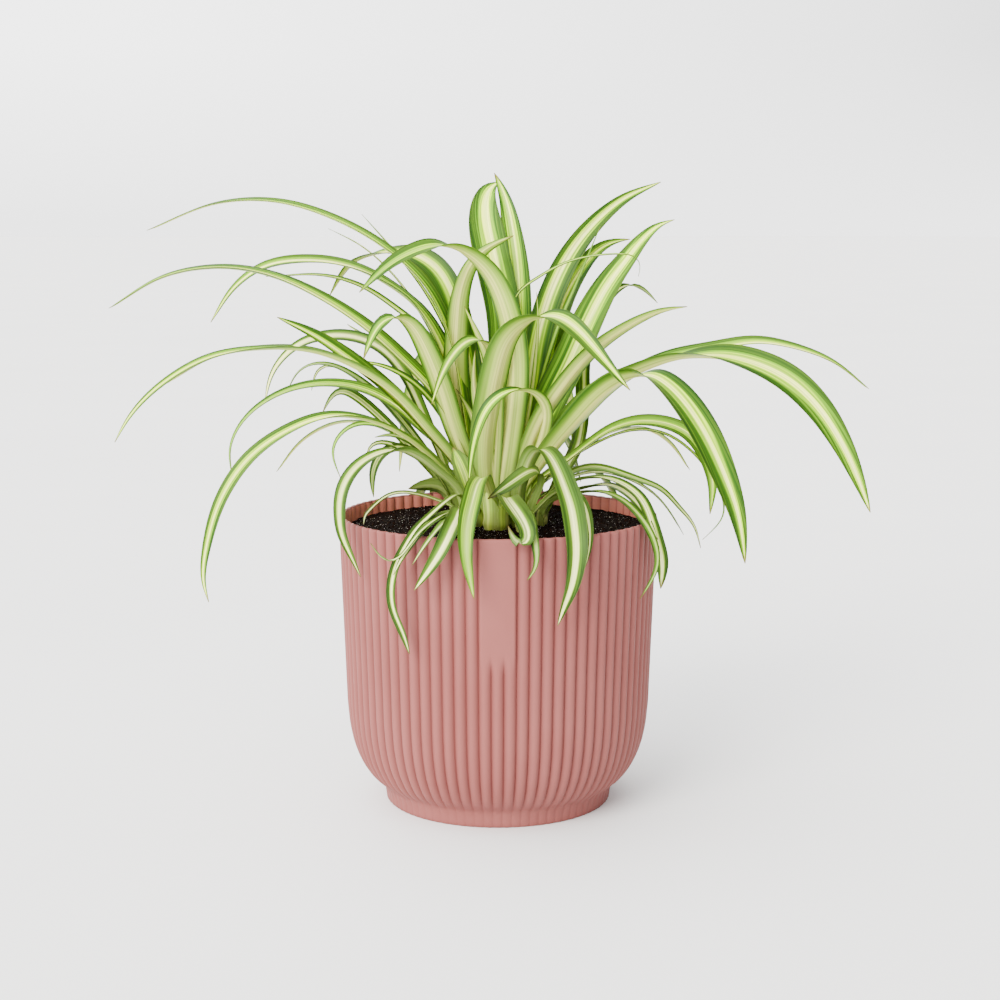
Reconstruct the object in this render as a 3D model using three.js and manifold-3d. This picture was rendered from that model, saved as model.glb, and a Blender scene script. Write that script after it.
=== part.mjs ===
// A spider plant in a round ribbed pot.
// Millimetres, +Z up. The origin is the centre of the pot's underside, and -Y is the front.

import * as THREE from "three";
import { mergeVertices } from "three/addons/utils/BufferGeometryUtils.js";
import Module from "manifold-3d";

const wasm = await Module();
wasm.setup();

// Driving dimensions of the pot
const potHeight = 168;
const rimRadius = 92;
const lipChamfer = 0.8;
const wallThickness = 3.4; // from the crest of a rib to the inside
const floorThickness = 5;
const ribCount = 80;
const ribPitch = 2 * Math.PI / ribCount;
const ribDepth = 1.3;
const outerRib = [[-0.5, -ribDepth], [-0.2, 0], [0.2, 0]]; // place in the rib, change of radius
const fluteDepth = 0.9; // ribs on the inside of the rim
const fluteBottom = 150; // the inside is smooth below this height
const fluteFade = 3;
const potProfile = [ // height, radius over the ribs and share of the ribs' depth, from the foot up
  [0, 65.6, 0.2],
  [10.5, 67.6, 0.3],
  [15.5, 74.6, 0.7],
  [25, 80.9, 1],
  [44, 86.9, 1],
  [potHeight - lipChamfer, rimRadius, 1],
  [potHeight, rimRadius - lipChamfer, 1],
];
const footInside = 63; // radius of the hollow down in the foot
const footHeight = 10;
const bellyHeight = 44;
const panel = { // smooth patch under the rim, at the front
  ribs: 3,
  bottom: 92,
  fade: 12,
  proud: 0.15,
  inset: 0.03,
  rootCover: 0.25,
  columns: 6,
};
const underRecess = { inner: 20, outer: 52, depth: 1.6, sides: 32 };

// Driving dimensions of the soil and of the crowns in it
const soilLevel = 160;
const soilRelief = 0.9;
const fitGap = 0.6;
const holeDepth = 20;
const holeGap = 0.9;
const holeSides = 10;
const stockSides = 8;
const soilSides = 32;

// Driving dimensions of the leaves
const bladeThickness = 0.7;
const tipWidth = 1;
const tipFullness = 0.75; // the lower, the wider a blade stays towards its tip
const lengthSamples = 10; // steps from one route point to the next when a blade's length is measured
const sectionTurn = 15; // degrees
const sectionRun = 45;
const channelWidth = 12.5; // a blade wider than this has a folded, channelled section
const foldAtRoot = 0.5; // rise of the edges over the middle, as a share of the half width
const foldAtTip = 0.2;
const rootLift = 3; // the blades start this high over the soil, inside their stock

// The leaf routes are drawn as the plant is seen from this eye point, on the upright plane through the pot's
// axis. A route point is [across, depth, up], and its depth moves it along its own line of sight.
const eye = new THREE.Vector3(1.2, -1050, 335.3);

const colours = { pot: 0xc98b83, soil: 0x1d1712, leaf: 0x7fb045, darkLeaf: 0x5d8f35 };

// A leaf: its full width, its route, and where it differs from the usual, how its upper face turns to the
// right (degrees, at even steps from root to tip), the compass angle it bends over to, where it is widest.
function leaf(width, route, options = {}) {
  return { width, route, turn: [0, 0], bend: null, widest: 0.42, ...options };
}

const crowns = [
  {
    name: "left_crown",
    at: [-13, 3],
    radius: 6.5,
    leaves: [
      leaf(12, [[-15, 3, 190], [-20, 5, 230], [-27, 7, 268], [-40, 9, 297], [-60, 12, 317], [-90, 17, 335],
        [-125, 22, 346], [-160, 26, 345], [-199, 30, 330]], { turn: [-20, -5] }),
      leaf(15, [[-15, 1, 190], [-24, -1, 215], [-38, -4, 238], [-55, -6, 256], [-75, -7, 274],
        [-100, -6, 291], [-128, -4, 304], [-157, -2, 309], [-190, 0, 304], [-222, 2, 286]],
        { turn: [-30, -5] }),
      leaf(15, [[-16, 4, 195], [-24, 7, 232], [-32, 11, 262], [-45, 16, 285], [-62, 21, 299],
        [-82, 24, 309], [-105, 26, 313], [-132, 28, 310], [-150, 28, 298], [-164, 28, 278]],
        { turn: [-50, -5, -50] }),
      leaf(6, [[-16, 5, 195], [-26, 10, 240], [-40, 22, 270], [-58, 32, 286], [-78, 38, 299],
        [-100, 42, 305], [-132, 45, 304]], { turn: [-40, -20] }),
      leaf(16, [[-14, 4, 185], [-18, 6, 205], [-22, 7, 228], [-24, 7, 252], [-23, 7, 275], [-21, 6, 295],
        [-15, 5, 311], [-6, 4, 320], [9, 3, 327]], { bend: -90, widest: 0.35 }),
      leaf(14, [[-13, 0, 180], [-20, -4, 200], [-27, -9, 220], [-33, -13, 240], [-41, -17, 261],
        [-50, -21, 277], [-59, -24, 282], [-67, -25, 278], [-73, -26, 268], [-77, -26, 257]],
        { bend: -110, widest: 0.5 }),
      leaf(13, [[-14, 0, 178], [-26, -4, 198], [-42, -9, 217], [-60, -14, 236], [-82, -19, 255],
        [-105, -23, 271], [-126, -26, 281]], { turn: [-40, -50], widest: 0.6 }),
      leaf(11, [[-14, -1, 178], [-26, -8, 198], [-42, -15, 217], [-60, -21, 237], [-80, -26, 251],
        [-105, -30, 261], [-132, -33, 263], [-165, -35, 258], [-195, -36, 241], [-212, -36, 224],
        [-221, -36, 209]], { turn: [40, -30], bend: -150 }),
      leaf(9, [[-15, 4, 185], [-28, 8, 203], [-44, 12, 217], [-60, 15, 231], [-78, 17, 240],
        [-98, 18, 243], [-118, 18, 240], [-135, 17, 232], [-148, 16, 220], [-155, 15, 205],
        [-154, 14, 190]], { turn: [-40, -30] }),
      leaf(11, [[-14, -2, 172], [-24, -10, 183], [-38, -20, 199], [-55, -30, 213], [-75, -39, 222],
        [-97, -47, 224], [-120, -54, 216], [-143, -59, 200], [-160, -62, 176], [-169, -64, 149],
        [-172, -65, 128], [-169, -65, 115]], { turn: [0, -30], bend: -140, widest: 0.5 }),
      leaf(6, [[-17, 4, 195], [-30, 9, 222], [-45, 12, 241], [-62, 14, 252], [-84, 15, 257]],
        { turn: [-40, -40] }),
      leaf(5, [[-20, 0, 180], [-45, -6, 208], [-68, -10, 219], [-82, -12, 220], [-92, -13, 213],
        [-96, -13, 203], [-91, -13, 188]], { turn: [-30, -30] }),
      leaf(11, [[-15, -10, 178], [-18, -13, 187], [-20, -15, 194], [-23, -15, 200], [-26, -13, 206]],
        { bend: 100, widest: 0.75 }),
    ],
  },
  {
    name: "centre_crown",
    at: [-1, -9],
    radius: 7,
    leaves: [
      leaf(19, [[0, -9, 180], [5, -10, 215], [8, -11, 245], [7, -12, 270], [2, -13, 290], [-6, -15, 306],
        [-18, -18, 317], [-32, -21, 322], [-47, -24, 319], [-62, -27, 311], [-79, -30, 295]],
        { bend: -110, turn: [0, -25] }),
      leaf(18, [[-5, -12, 178], [-7, -15, 205], [-4, -18, 230], [0, -21, 251], [5, -24, 267],
        [13, -27, 276], [23, -31, 281], [34, -37, 281], [45, -43, 274], [57, -50, 261], [68, -56, 248],
        [76, -60, 239]], { bend: -70, turn: [0, 20], widest: 0.35 }),
      leaf(8, [[-2, -10, 185], [0, -12, 225], [-1, -15, 252], [-7, -19, 267], [-15, -23, 269],
        [-24, -27, 262], [-32, -30, 249], [-38, -32, 231]], { bend: -110, turn: [0, -30], widest: 0.6 }),
      leaf(11, [[-4, -14, 176], [-8, -24, 188], [-12, -46, 185], [-15, -70, 175], [-18, -92, 162],
        [-19, -103, 150], [-18, -105, 138], [-16, -105, 127], [-14, -104, 117]],
        { bend: -90, widest: 0.55 }),
      leaf(6, [[-5, -8, 190], [-9, -6, 208], [-15, -3, 225], [-24, 0, 240]], { bend: -100 }),
      leaf(8, [[0, -6, 200], [-2, -3, 235], [-7, -1, 260], [-13, -1, 274], [-19, -1, 287]], { bend: -100 }),
      leaf(7, [[-2, -10, 190], [-10, -12, 220], [-14, -13, 245], [-13, -14, 262]], { bend: -90 }),
      leaf(3, [[5, -5, 200], [8, -4, 250], [7, -4, 282], [11, -4, 295], [22, -5, 303], [38, -6, 312],
        [55, -7, 316], [70, -8, 317], [79, -8, 316], [82, -8, 311], [80, -8, 304]],
        { turn: [30, 30], bend: 0 }),
    ],
  },
  {
    name: "right_crown",
    at: [12, 3],
    radius: 6.5,
    leaves: [
      leaf(20, [[14, -2, 178], [23, -8, 193], [34, -15, 208], [46, -23, 222], [59, -31, 236],
        [72, -39, 245], [85, -47, 248], [97, -54, 241], [109, -60, 228], [120, -65, 211], [130, -69, 190],
        [138, -72, 169], [142, -74, 151], [144, -75, 138]], { bend: -62, widest: 0.6 }),
      leaf(18, [[13, 0, 178], [24, -1, 195], [34, -2, 210], [45, -3, 226], [60, -4, 239], [80, -5, 249],
        [102, -7, 257], [125, -9, 259], [148, -12, 254], [168, -15, 244], [185, -18, 228], [199, -21, 207],
        [209, -23, 186], [216, -24, 168]], { bend: -65, turn: [0, 25], widest: 0.65 }),
      leaf(12, [[14, 4, 180], [27, 6, 200], [40, 8, 220], [56, 10, 236], [76, 13, 248], [98, 16, 258],
        [122, 19, 263], [148, 22, 267], [172, 24, 263], [193, 25, 255], [213, 26, 240]],
        { turn: [20, 20], widest: 0.7 }),
      leaf(20, [[14, 2, 190], [22, 3, 212], [32, 5, 236], [42, 7, 256], [52, 10, 279], [62, 14, 298],
        [72, 19, 312], [82, 24, 325], [91, 28, 333], [100, 31, 336]], { bend: 75 }),
      leaf(16, [[12, 5, 190], [17, 9, 215], [20, 13, 245], [25, 17, 275], [33, 21, 300], [43, 26, 319],
        [56, 31, 335], [72, 36, 348], [92, 42, 357]], { bend: 75, turn: [0, 20] }),
      leaf(17, [[13, 6, 195], [20, 12, 225], [27, 18, 258], [35, 24, 287], [45, 30, 306], [56, 35, 319],
        [66, 38, 324], [75, 40, 325]], { bend: 75, turn: [0, 25] }),
      leaf(3, [[12, 4, 195], [22, 8, 235], [34, 12, 275], [45, 15, 301], [52, 16, 318], [58, 17, 332]],
        { bend: 80 }),
      leaf(12, [[12, -4, 182], [18, -9, 205], [26, -14, 224], [36, -19, 239], [50, -25, 257],
        [64, -29, 269], [80, -33, 279], [94, -35, 285], [108, -37, 287]], { bend: -60, turn: [0, -30] }),
      leaf(9, [[15, -3, 185], [22, -7, 203], [27, -13, 220], [27, -18, 230], [22, -23, 237],
        [13, -27, 240], [4, -30, 238], [-5, -32, 231], [-11, -32, 219], [-15, -30, 203], [-17, -26, 184]],
        { bend: -120, widest: 0.5 }),
      leaf(10, [[22, -4, 185], [36, -8, 195], [50, -10, 206], [64, -13, 216], [80, -16, 221],
        [96, -20, 220], [110, -24, 214], [119, -27, 202], [124, -29, 186], [123, -30, 167]],
        { turn: [20, 50], widest: 0.7 }),
      leaf(3, [[30, 0, 190], [50, -2, 205], [75, -6, 216], [95, -9, 215], [112, -12, 204], [124, -14, 189],
        [131, -15, 175], [131, -16, 165], [119, -16, 152]], { turn: [30, 30] }),
      leaf(3, [[13, 0, 200], [19, -2, 235], [22, -3, 262], [23, -3, 280], [22, -3, 295]], { bend: -90 }),
    ],
  },
  {
    name: "back_crown",
    at: [-1, 13],
    radius: 6,
    leaves: [
      leaf(21, [[-1, 15, 190], [2, 17, 225], [4, 19, 260], [3, 21, 285], [-1, 24, 305], [-5, 27, 323],
        [-8, 31, 340], [-7, 35, 350], [-3, 39, 356], [1, 42, 357]], { bend: 90, widest: 0.78 }),
      leaf(15, [[3, 15, 190], [8, 17, 225], [12, 19, 260], [12, 21, 285], [11, 24, 305], [9, 27, 322],
        [6, 30, 340], [3, 34, 351], [-2, 38, 362]], { bend: 90, widest: 0.65 }),
      leaf(18, [[-6, 15, 190], [-14, 19, 230], [-21, 23, 268], [-27, 27, 293], [-35, 32, 308],
        [-47, 37, 316], [-60, 41, 318], [-73, 45, 316], [-85, 48, 310], [-96, 51, 293]],
        { bend: 110, turn: [0, -30] }),
      leaf(4, [[-8, 16, 195], [-25, 30, 245], [-45, 44, 285], [-62, 55, 308], [-78, 62, 322],
        [-96, 68, 331]]),
      leaf(4, [[-6, 17, 195], [-20, 32, 250], [-38, 46, 290], [-56, 56, 315], [-66, 60, 327],
        [-77, 64, 339]]),
      leaf(11, [[-12, 20, 185], [-24, 30, 198], [-42, 40, 217], [-60, 50, 237], [-80, 61, 251],
        [-105, 73, 261], [-132, 85, 263], [-165, 98, 258], [-192, 108, 242]], { turn: [20, 35] }),
      leaf(12, [[-14, 24, 200], [-38, 44, 238], [-55, 62, 255], [-72, 79, 268], [-86, 92, 277]],
        { turn: [10, 30] }),
      leaf(9, [[8, 20, 190], [18, 29, 210], [34, 54, 232], [47, 80, 249], [58, 105, 262], [68, 130, 270],
        [77, 152, 276]], { turn: [-10, -30] }),
      leaf(11, [[10, 18, 188], [24, 27, 198], [45, 43, 224], [60, 60, 238], [80, 78, 249], [102, 95, 257],
        [125, 112, 258], [148, 126, 253], [166, 138, 244]], { turn: [-20, -35] }),
      leaf(15, [[-4, 20, 200], [-6, 34, 230], [-8, 54, 252], [-8, 80, 264], [-6, 110, 267], [-4, 140, 260],
        [-2, 165, 244], [0, 182, 218]]),
      leaf(11, [[4, 20, 200], [14, 36, 230], [20, 58, 252], [26, 84, 263], [32, 112, 262], [37, 138, 250],
        [42, 158, 228], [44, 170, 200]]),
      leaf(11, [[-10, 22, 200], [-18, 40, 230], [-26, 62, 252], [-34, 88, 262], [-42, 114, 258],
        [-49, 134, 243], [-54, 150, 220], [-57, 160, 192]]),
      leaf(9, [[-14, 22, 180], [-28, 34, 190], [-45, 48, 204], [-62, 64, 215], [-80, 82, 221],
        [-97, 99, 219], [-114, 114, 209], [-128, 126, 192]]),
      leaf(9, [[12, 20, 178], [24, 29, 186], [38, 40, 196], [52, 56, 208], [68, 74, 216], [84, 92, 217],
        [99, 108, 209], [111, 120, 193]]),
    ],
  },
  {
    name: "front_left_offset",
    at: [-18, -16],
    radius: 3.2,
    leaves: [
      leaf(5, [[-19, -22, 174], [-23, -32, 179], [-31, -48, 174], [-40, -64, 166], [-48, -80, 158],
        [-55, -88, 147], [-61, -90, 134], [-63, -89, 119], [-61, -87, 108], [-56, -86, 97],
        [-52, -87, 84]], { bend: -95, turn: [0, 0, 0, 25], widest: 0.9 }),
      leaf(7, [[-20, -24, 168], [-28, -42, 168], [-36, -64, 164], [-44, -83, 158], [-52, -92, 147],
        [-58, -95, 138], [-61, -95, 131]], { bend: -110 }),
      leaf(5, [[-22, -30, 166], [-28, -54, 165], [-33, -76, 161], [-38, -91, 155], [-44, -98, 147],
        [-50, -99, 137]], { bend: -100 }),
      leaf(10, [[-20, -26, 168], [-22, -46, 170], [-24, -66, 165], [-27, -84, 159], [-31, -97, 150],
        [-36, -99, 141], [-42, -98, 132], [-49, -96, 122]], { bend: -100, widest: 0.6 }),
      leaf(8, [[-22, -20, 180], [-35, -28, 192], [-46, -34, 201], [-57, -38, 205], [-68, -42, 203],
        [-78, -47, 198], [-86, -52, 190], [-91, -56, 179], [-92, -58, 166], [-91, -59, 155],
        [-87, -60, 146], [-80, -60, 130]], { bend: -95, widest: 0.6 }),
      leaf(4, [[-23, -14, 170], [-32, -10, 174], [-42, -8, 178], [-52, -7, 180], [-61, -6, 180],
        [-68, -7, 176], [-73, -12, 171], [-77, -22, 167], [-78, -36, 161]],
        { turn: [-20, -20], widest: 0.3 }),
      leaf(3, [[-21, -28, 168], [-29, -46, 168], [-38, -70, 163], [-48, -91, 154], [-55, -95, 144],
        [-60, -94, 139], [-67, -91, 140], [-74, -88, 150]], { bend: -120 }),
    ],
  },
  {
    name: "back_left_offset",
    at: [-24, 12],
    radius: 3.2,
    leaves: [
      leaf(9, [[-28, 14, 185], [-42, 20, 222], [-55, 26, 250], [-68, 30, 264], [-84, 33, 270],
        [-100, 35, 270], [-113, 36, 266], [-123, 37, 258], [-130, 37, 248], [-134, 37, 232]],
        { turn: [-20, -60], widest: 0.6 }),
      leaf(6, [[-30, 15, 185], [-50, 24, 215], [-70, 30, 238], [-88, 33, 251], [-100, 34, 255],
        [-111, 34, 253], [-118, 34, 246], [-121, 34, 238]], { turn: [-20, -30] }),
      leaf(6, [[-29, 17, 182], [-48, 28, 212], [-68, 36, 236], [-85, 40, 249], [-97, 42, 254],
        [-104, 43, 251], [-107, 43, 239]], { bend: -120 }),
      leaf(7, [[-30, 14, 180], [-50, 22, 205], [-68, 27, 224], [-82, 30, 236], [-91, 31, 240],
        [-97, 32, 234], [-101, 32, 226]], { turn: [-20, -50], widest: 0.7 }),
      leaf(6, [[-32, 8, 190], [-42, 4, 199], [-52, 1, 204], [-61, -1, 208], [-69, -2, 210], [-75, -3, 207],
        [-76, -3, 200]], { turn: [-30, -50] }),
      leaf(6, [[-30, 6, 182], [-44, 2, 200], [-57, -1, 207], [-66, -3, 204], [-71, -4, 197],
        [-73, -4, 188], [-72, -4, 177]], { turn: [-30, -60], widest: 0.7 }),
      leaf(6, [[-32, 10, 190], [-43, 8, 204], [-53, 6, 211], [-62, 5, 214], [-71, 4, 212]],
        { turn: [-40, -50] }),
      leaf(11, [[-27, 10, 176], [-31, 9, 182], [-40, 7, 184], [-52, 6, 182]],
        { turn: [50, 50], widest: 0.6 }),
    ],
  },
  {
    name: "front_right_offset",
    at: [14, -18],
    radius: 3.2,
    leaves: [
      leaf(11, [[20, -22, 178], [25, -24, 189], [23, -27, 194], [15, -31, 190], [5, -35, 183],
        [-6, -39, 176]], { bend: -150, turn: [0, -50], widest: 0.55 }),
      leaf(13, [[9, -24, 172], [5, -34, 177], [7, -52, 174], [12, -72, 167], [16, -88, 160], [18, -96, 153],
        [16, -100, 148], [11, -99, 149], [8, -96, 154], [6, -92, 160]], { bend: -90, widest: 0.45 }),
      leaf(7, [[16, -30, 168], [17, -50, 167], [19, -70, 162], [20, -88, 158], [22, -98, 147],
        [23, -99, 139], [21, -99, 132], [17, -98, 128]], { bend: -90 }),
      leaf(13, [[12, -22, 178], [16, -26, 193], [22, -33, 205], [28, -42, 204], [34, -54, 195],
        [39, -66, 183], [43, -78, 171], [45, -88, 158], [46, -93, 146], [45, -95, 134], [43, -96, 123],
        [39, -96, 113], [35, -95, 101]], { bend: -75, widest: 0.6 }),
      leaf(5, [[24, -26, 172], [36, -38, 182], [45, -50, 180], [50, -62, 173], [53, -76, 163],
        [54, -84, 152], [53, -88, 144], [51, -89, 136]], { bend: -70, widest: 0.6 }),
    ],
  },
  {
    name: "right_offset",
    at: [25, 6],
    radius: 3.2,
    leaves: [
      leaf(6, [[31, 4, 182], [43, 2, 192], [56, 0, 195], [68, -2, 192], [82, -4, 187], [95, -6, 182],
        [105, -7, 171], [114, -8, 161], [118, -8, 147]], { turn: [30, 30] }),
      leaf(4, [[30, 8, 180], [45, 9, 190], [62, 9, 192], [80, 8, 186], [92, 7, 178], [101, 6, 167],
        [108, 5, 155]], { turn: [20, 20] }),
      leaf(8, [[30, 0, 178], [42, -8, 186], [56, -17, 189], [68, -25, 187], [77, -31, 182], [84, -39, 175],
        [89, -44, 163], [93, -45, 150], [96, -47, 138], [95, -47, 123]],
        { bend: -55, turn: [0, 20], widest: 0.85 }),
      leaf(7, [[30, 2, 176], [42, -3, 180], [55, -10, 184], [66, -19, 184], [75, -28, 179], [82, -37, 172],
        [88, -44, 163], [93, -49, 152]], { bend: -65, turn: [0, 20] }),
      leaf(6, [[29, -2, 174], [42, -10, 178], [54, -18, 181], [65, -26, 179], [74, -33, 174],
        [81, -42, 167], [87, -51, 159], [92, -55, 148], [93, -57, 136], [89, -58, 127], [83, -58, 117]],
        { bend: -75 }),
      leaf(9, [[36, 12, 188], [46, 17, 207], [49, 21, 232], [49, 23, 255], [54, 25, 275], [63, 27, 292],
        [73, 28, 300], [82, 29, 298], [91, 30, 289]], { bend: 75 }),
    ],
  },
  {
    name: "back_right_offset",
    at: [10, 29],
    radius: 3.2,
    leaves: [
      leaf(7, [[12, 40, 182], [16, 58, 194], [20, 76, 194], [23, 92, 184], [25, 103, 164], [25, 106, 142]]),
      leaf(8, [[22, 36, 182], [36, 48, 192], [50, 62, 194], [62, 76, 187], [70, 88, 170], [73, 94, 150]]),
      leaf(8, [[6, 40, 186], [4, 60, 204], [2, 82, 210], [0, 104, 202], [-1, 120, 184], [-2, 128, 162]]),
      leaf(6, [[26, 32, 178], [44, 40, 187], [62, 48, 189], [76, 55, 182], [87, 61, 166], [91, 64, 150]]),
      leaf(7, [[14, 42, 192], [24, 66, 212], [34, 90, 216], [42, 112, 206], [48, 128, 186]]),
    ],
  },
  {
    name: "back_offset",
    at: [-13, 30],
    radius: 3.2,
    leaves: [
      leaf(7, [[-18, 44, 182], [-24, 60, 192], [-31, 76, 191], [-37, 91, 180], [-41, 100, 162],
        [-42, 102, 142]]),
      leaf(8, [[-22, 42, 180], [-28, 56, 187], [-35, 70, 188], [-42, 82, 184], [-48, 92, 172],
        [-51, 97, 152]]),
      leaf(8, [[-14, 46, 190], [-14, 66, 208], [-15, 88, 213], [-16, 108, 205], [-17, 124, 187],
        [-18, 132, 164]]),
      leaf(7, [[-18, 44, 186], [-22, 64, 200], [-26, 86, 204], [-31, 106, 196], [-35, 122, 178],
        [-38, 130, 158]]),
    ],
  },
];

// Solids from three.js geometry and back
function toSolid(geometry) {
  const bare = geometry.clone();
  bare.deleteAttribute("normal");
  bare.deleteAttribute("uv");
  const merged = mergeVertices(bare, 1e-4);
  const triangles = [];
  for (let first = 0; first < merged.index.count; first += 3) {
    const [a, b, c] = merged.index.array.slice(first, first + 3);
    if (a !== b && b !== c && c !== a) {
      triangles.push(a, b, c);
    }
  }
  return new wasm.Manifold(new wasm.Mesh({
    numProp: 3,
    vertProperties: new Float32Array(merged.attributes.position.array),
    triVerts: new Uint32Array(triangles),
  }));
}

function toGeometry(solid) {
  const mesh = solid.getMesh();
  const geometry = new THREE.BufferGeometry();
  geometry.setAttribute("position", new THREE.BufferAttribute(mesh.vertProperties, 3));
  geometry.setIndex(new THREE.BufferAttribute(mesh.triVerts, 1));
  return geometry;
}

function indexedGeometry(points, triangles) {
  const geometry = new THREE.BufferGeometry();
  geometry.setAttribute("position", new THREE.Float32BufferAttribute(points.flat(), 3));
  geometry.setIndex(triangles);
  return geometry;
}

function middleOf(ring) {
  return [0, 1, 2].map((axis) => ring.reduce((sum, point) => sum + point[axis], 0) / ring.length);
}

// A closed body through a stack of rings, from the lowest up, each an anticlockwise list of [x, y, z] points
function stackOfRings(rings) {
  const count = rings[0].length;
  const points = [...rings.flat(), middleOf(rings[0]), middleOf(rings.at(-1))];
  const topRow = (rings.length - 1) * count;
  const bottomMiddle = points.length - 2;
  const triangles = [];
  for (let column = 0; column < count; column += 1) {
    const next = (column + 1) % count;
    for (let row = 0; row < topRow; row += count) {
      triangles.push(row + column, row + next, row + count + next);
      triangles.push(row + column, row + count + next, row + count + column);
    }
    triangles.push(bottomMiddle, next, column);
    triangles.push(bottomMiddle + 1, topRow + column, topRow + next);
  }
  return toSolid(indexedGeometry(points, triangles));
}

function circle(radius, height, sides) {
  const ring = [];
  for (let side = 0; side < sides; side += 1) {
    const angle = 2 * Math.PI * side / sides;
    ring.push([radius * Math.cos(angle), radius * Math.sin(angle), height]);
  }
  return ring;
}

// The pot's radius over the ribs at a height
function radiusAt(height) {
  const above = Math.max(potProfile.findIndex(([z]) => z >= height), 1);
  const [z1, r1] = potProfile[above];
  const [z0, r0] = potProfile[above - 1];
  return r0 + (r1 - r0) * (height - z0) / (z1 - z0);
}

// Height and radius of the smooth part of the pot's inside
function insideLevels() {
  return [
    [floorThickness, footInside],
    [footHeight, footInside],
    [bellyHeight, radiusAt(bellyHeight) - wallThickness],
    [fluteBottom, radiusAt(fluteBottom) - wallThickness],
  ];
}

// A ring with one rib after another: the section lists [place in the rib from -0.5 to 0.5, change of radius]
function ribbedRing(radius, height, section) {
  const ring = [];
  for (let rib = 0; rib < ribCount; rib += 1) {
    for (const [place, change] of section) {
      const angle = -Math.PI / 2 + (rib + place) * ribPitch;
      ring.push([(radius + change) * Math.cos(angle), (radius + change) * Math.sin(angle), height]);
    }
  }
  return ring;
}

// The smooth patch over three ribs: an arc of plate sunk in the wall, which fades out at its lower end
function frontPanel() {
  const halfAngle = (panel.ribs / 2 - panel.inset) * ribPitch;
  const backing = fluteDepth - wallThickness + panel.rootCover;
  const rows = [
    [panel.bottom, radiusAt(panel.bottom) - ribDepth],
    [panel.bottom + panel.fade, radiusAt(panel.bottom + panel.fade) + panel.proud],
    [potHeight - lipChamfer, rimRadius + panel.proud],
    [potHeight, rimRadius - lipChamfer],
  ];
  return stackOfRings(rows.map(([height, radius]) => {
    const front = [];
    const back = [];
    for (let column = 0; column <= panel.columns; column += 1) {
      const angle = -Math.PI / 2 + halfAngle * (2 * column / panel.columns - 1);
      const inner = radiusAt(height) + backing;
      front.push([radius * Math.cos(angle), radius * Math.sin(angle), height]);
      back.unshift([inner * Math.cos(angle), inner * Math.sin(angle), height]);
    }
    return [...front, ...back];
  }));
}

function pot() {
  const outside = stackOfRings(potProfile.map(([z, r, depth]) => {
    return ribbedRing(r, z, outerRib.map(([place, change]) => [place, change * depth]));
  }));
  const smooth = [[0, 0], [0.5, 0]];
  const fluted = [[0, fluteDepth], [0.5, 0]];
  const hollow = stackOfRings([
    ...insideLevels().map(([z, r]) => ribbedRing(r, z, smooth)),
    ribbedRing(radiusAt(fluteBottom + fluteFade) - wallThickness, fluteBottom + fluteFade, fluted),
    ribbedRing(rimRadius - wallThickness, potHeight + 1, fluted),
  ]);
  const recess = stackOfRings([
    circle(underRecess.outer, -1, underRecess.sides),
    circle(underRecess.outer, underRecess.depth, underRecess.sides),
  ]).subtract(stackOfRings([
    circle(underRecess.inner, -2, underRecess.sides),
    circle(underRecess.inner, underRecess.depth + 1, underRecess.sides),
  ]));
  return outside.add(frontPanel()).subtract(hollow).subtract(recess);
}

// The soil's surface: level at the wall, with soft unevenness over the rest
function soilHeight(x, y, share) {
  const waves = 0.6 * Math.sin(x / 13 + 1) * Math.cos(y / 11) + 0.4 * Math.cos(x / 29 - y / 23);
  return soilLevel + soilRelief * waves * (1 - share ** 4);
}

function soil() {
  const edge = radiusAt(soilLevel) - wallThickness - fitGap;
  const levels = [...insideLevels().slice(0, -1), [soilLevel, edge + fitGap]];
  const rings = levels.map(([z, r]) => circle(r - fitGap, z, soilSides));
  rings[0] = circle(footInside - fitGap, floorThickness + fitGap, soilSides);
  for (const share of [0.75, 0.5, 0.25]) {
    rings.push(circle(edge * share, soilLevel, soilSides).map(([x, y]) => [x, y, soilHeight(x, y, share)]));
  }
  return crowns.reduce((body, { at: [x, y], radius }) => {
    const hole = stackOfRings([
      circle(radius + holeGap, soilLevel - holeDepth, holeSides),
      circle(radius + holeGap, soilLevel + holeDepth, holeSides),
    ]);
    return body.subtract(hole.translate([x, y, 0]));
  }, stackOfRings(rings));
}

// The short stock that a crown's leaves grow from, standing in its hole in the soil
function stock({ at: [x, y], radius }) {
  const foot = soilLevel - holeDepth + fitGap;
  const levels = [
    [0.8, foot], [1, foot + 4], [1, soilLevel + 5], [0.8, soilLevel + 12], [0.35, soilLevel + 18],
  ];
  return stackOfRings(levels.map(([share, z]) => circle(radius * share, z, stockSides))).translate([x, y, 0]);
}

// Moves a route point along its line of sight to its depth
function sight([across, depth, up]) {
  const onPlane = new THREE.Vector3(across, 0, up);
  return eye.clone().lerp(onPlane, 1 + depth / -eye.y);
}

// A blade's full width at a share of its length: it swells from the sheath and runs out to a point
function widthAt({ width, widest }, share) {
  const swell = 0.5 + 0.5 * Math.sin(Math.PI / 2 * Math.min(share / widest, 1));
  const taper = Math.cos(Math.PI / 2 * Math.max((share - widest) / (1 - widest), 0));
  return Math.max(width * swell * taper ** tipFullness, tipWidth);
}

// How far a blade's face is turned at a share of its length
function turnAt({ turn }, share) {
  const place = share * (turn.length - 1);
  const step = Math.min(Math.floor(place), turn.length - 2);
  return THREE.MathUtils.lerp(turn[step], turn[step + 1], place - step);
}

// A blade's section at a share of its length, from its left edge over the upper face and back underneath
function sectionAt(spec, share) {
  const half = widthAt(spec, share) / 2;
  const rise = half * (foldAtRoot + (foldAtTip - foldAtRoot) * share);
  const upper = spec.width > channelWidth ? [[-half, rise], [0, 0], [half, rise]] : [[-half, 0], [half, 0]];
  const lower = upper.map(([across, up]) => [across, up - bladeThickness]);
  return [...upper, ...lower.reverse()];
}

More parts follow.
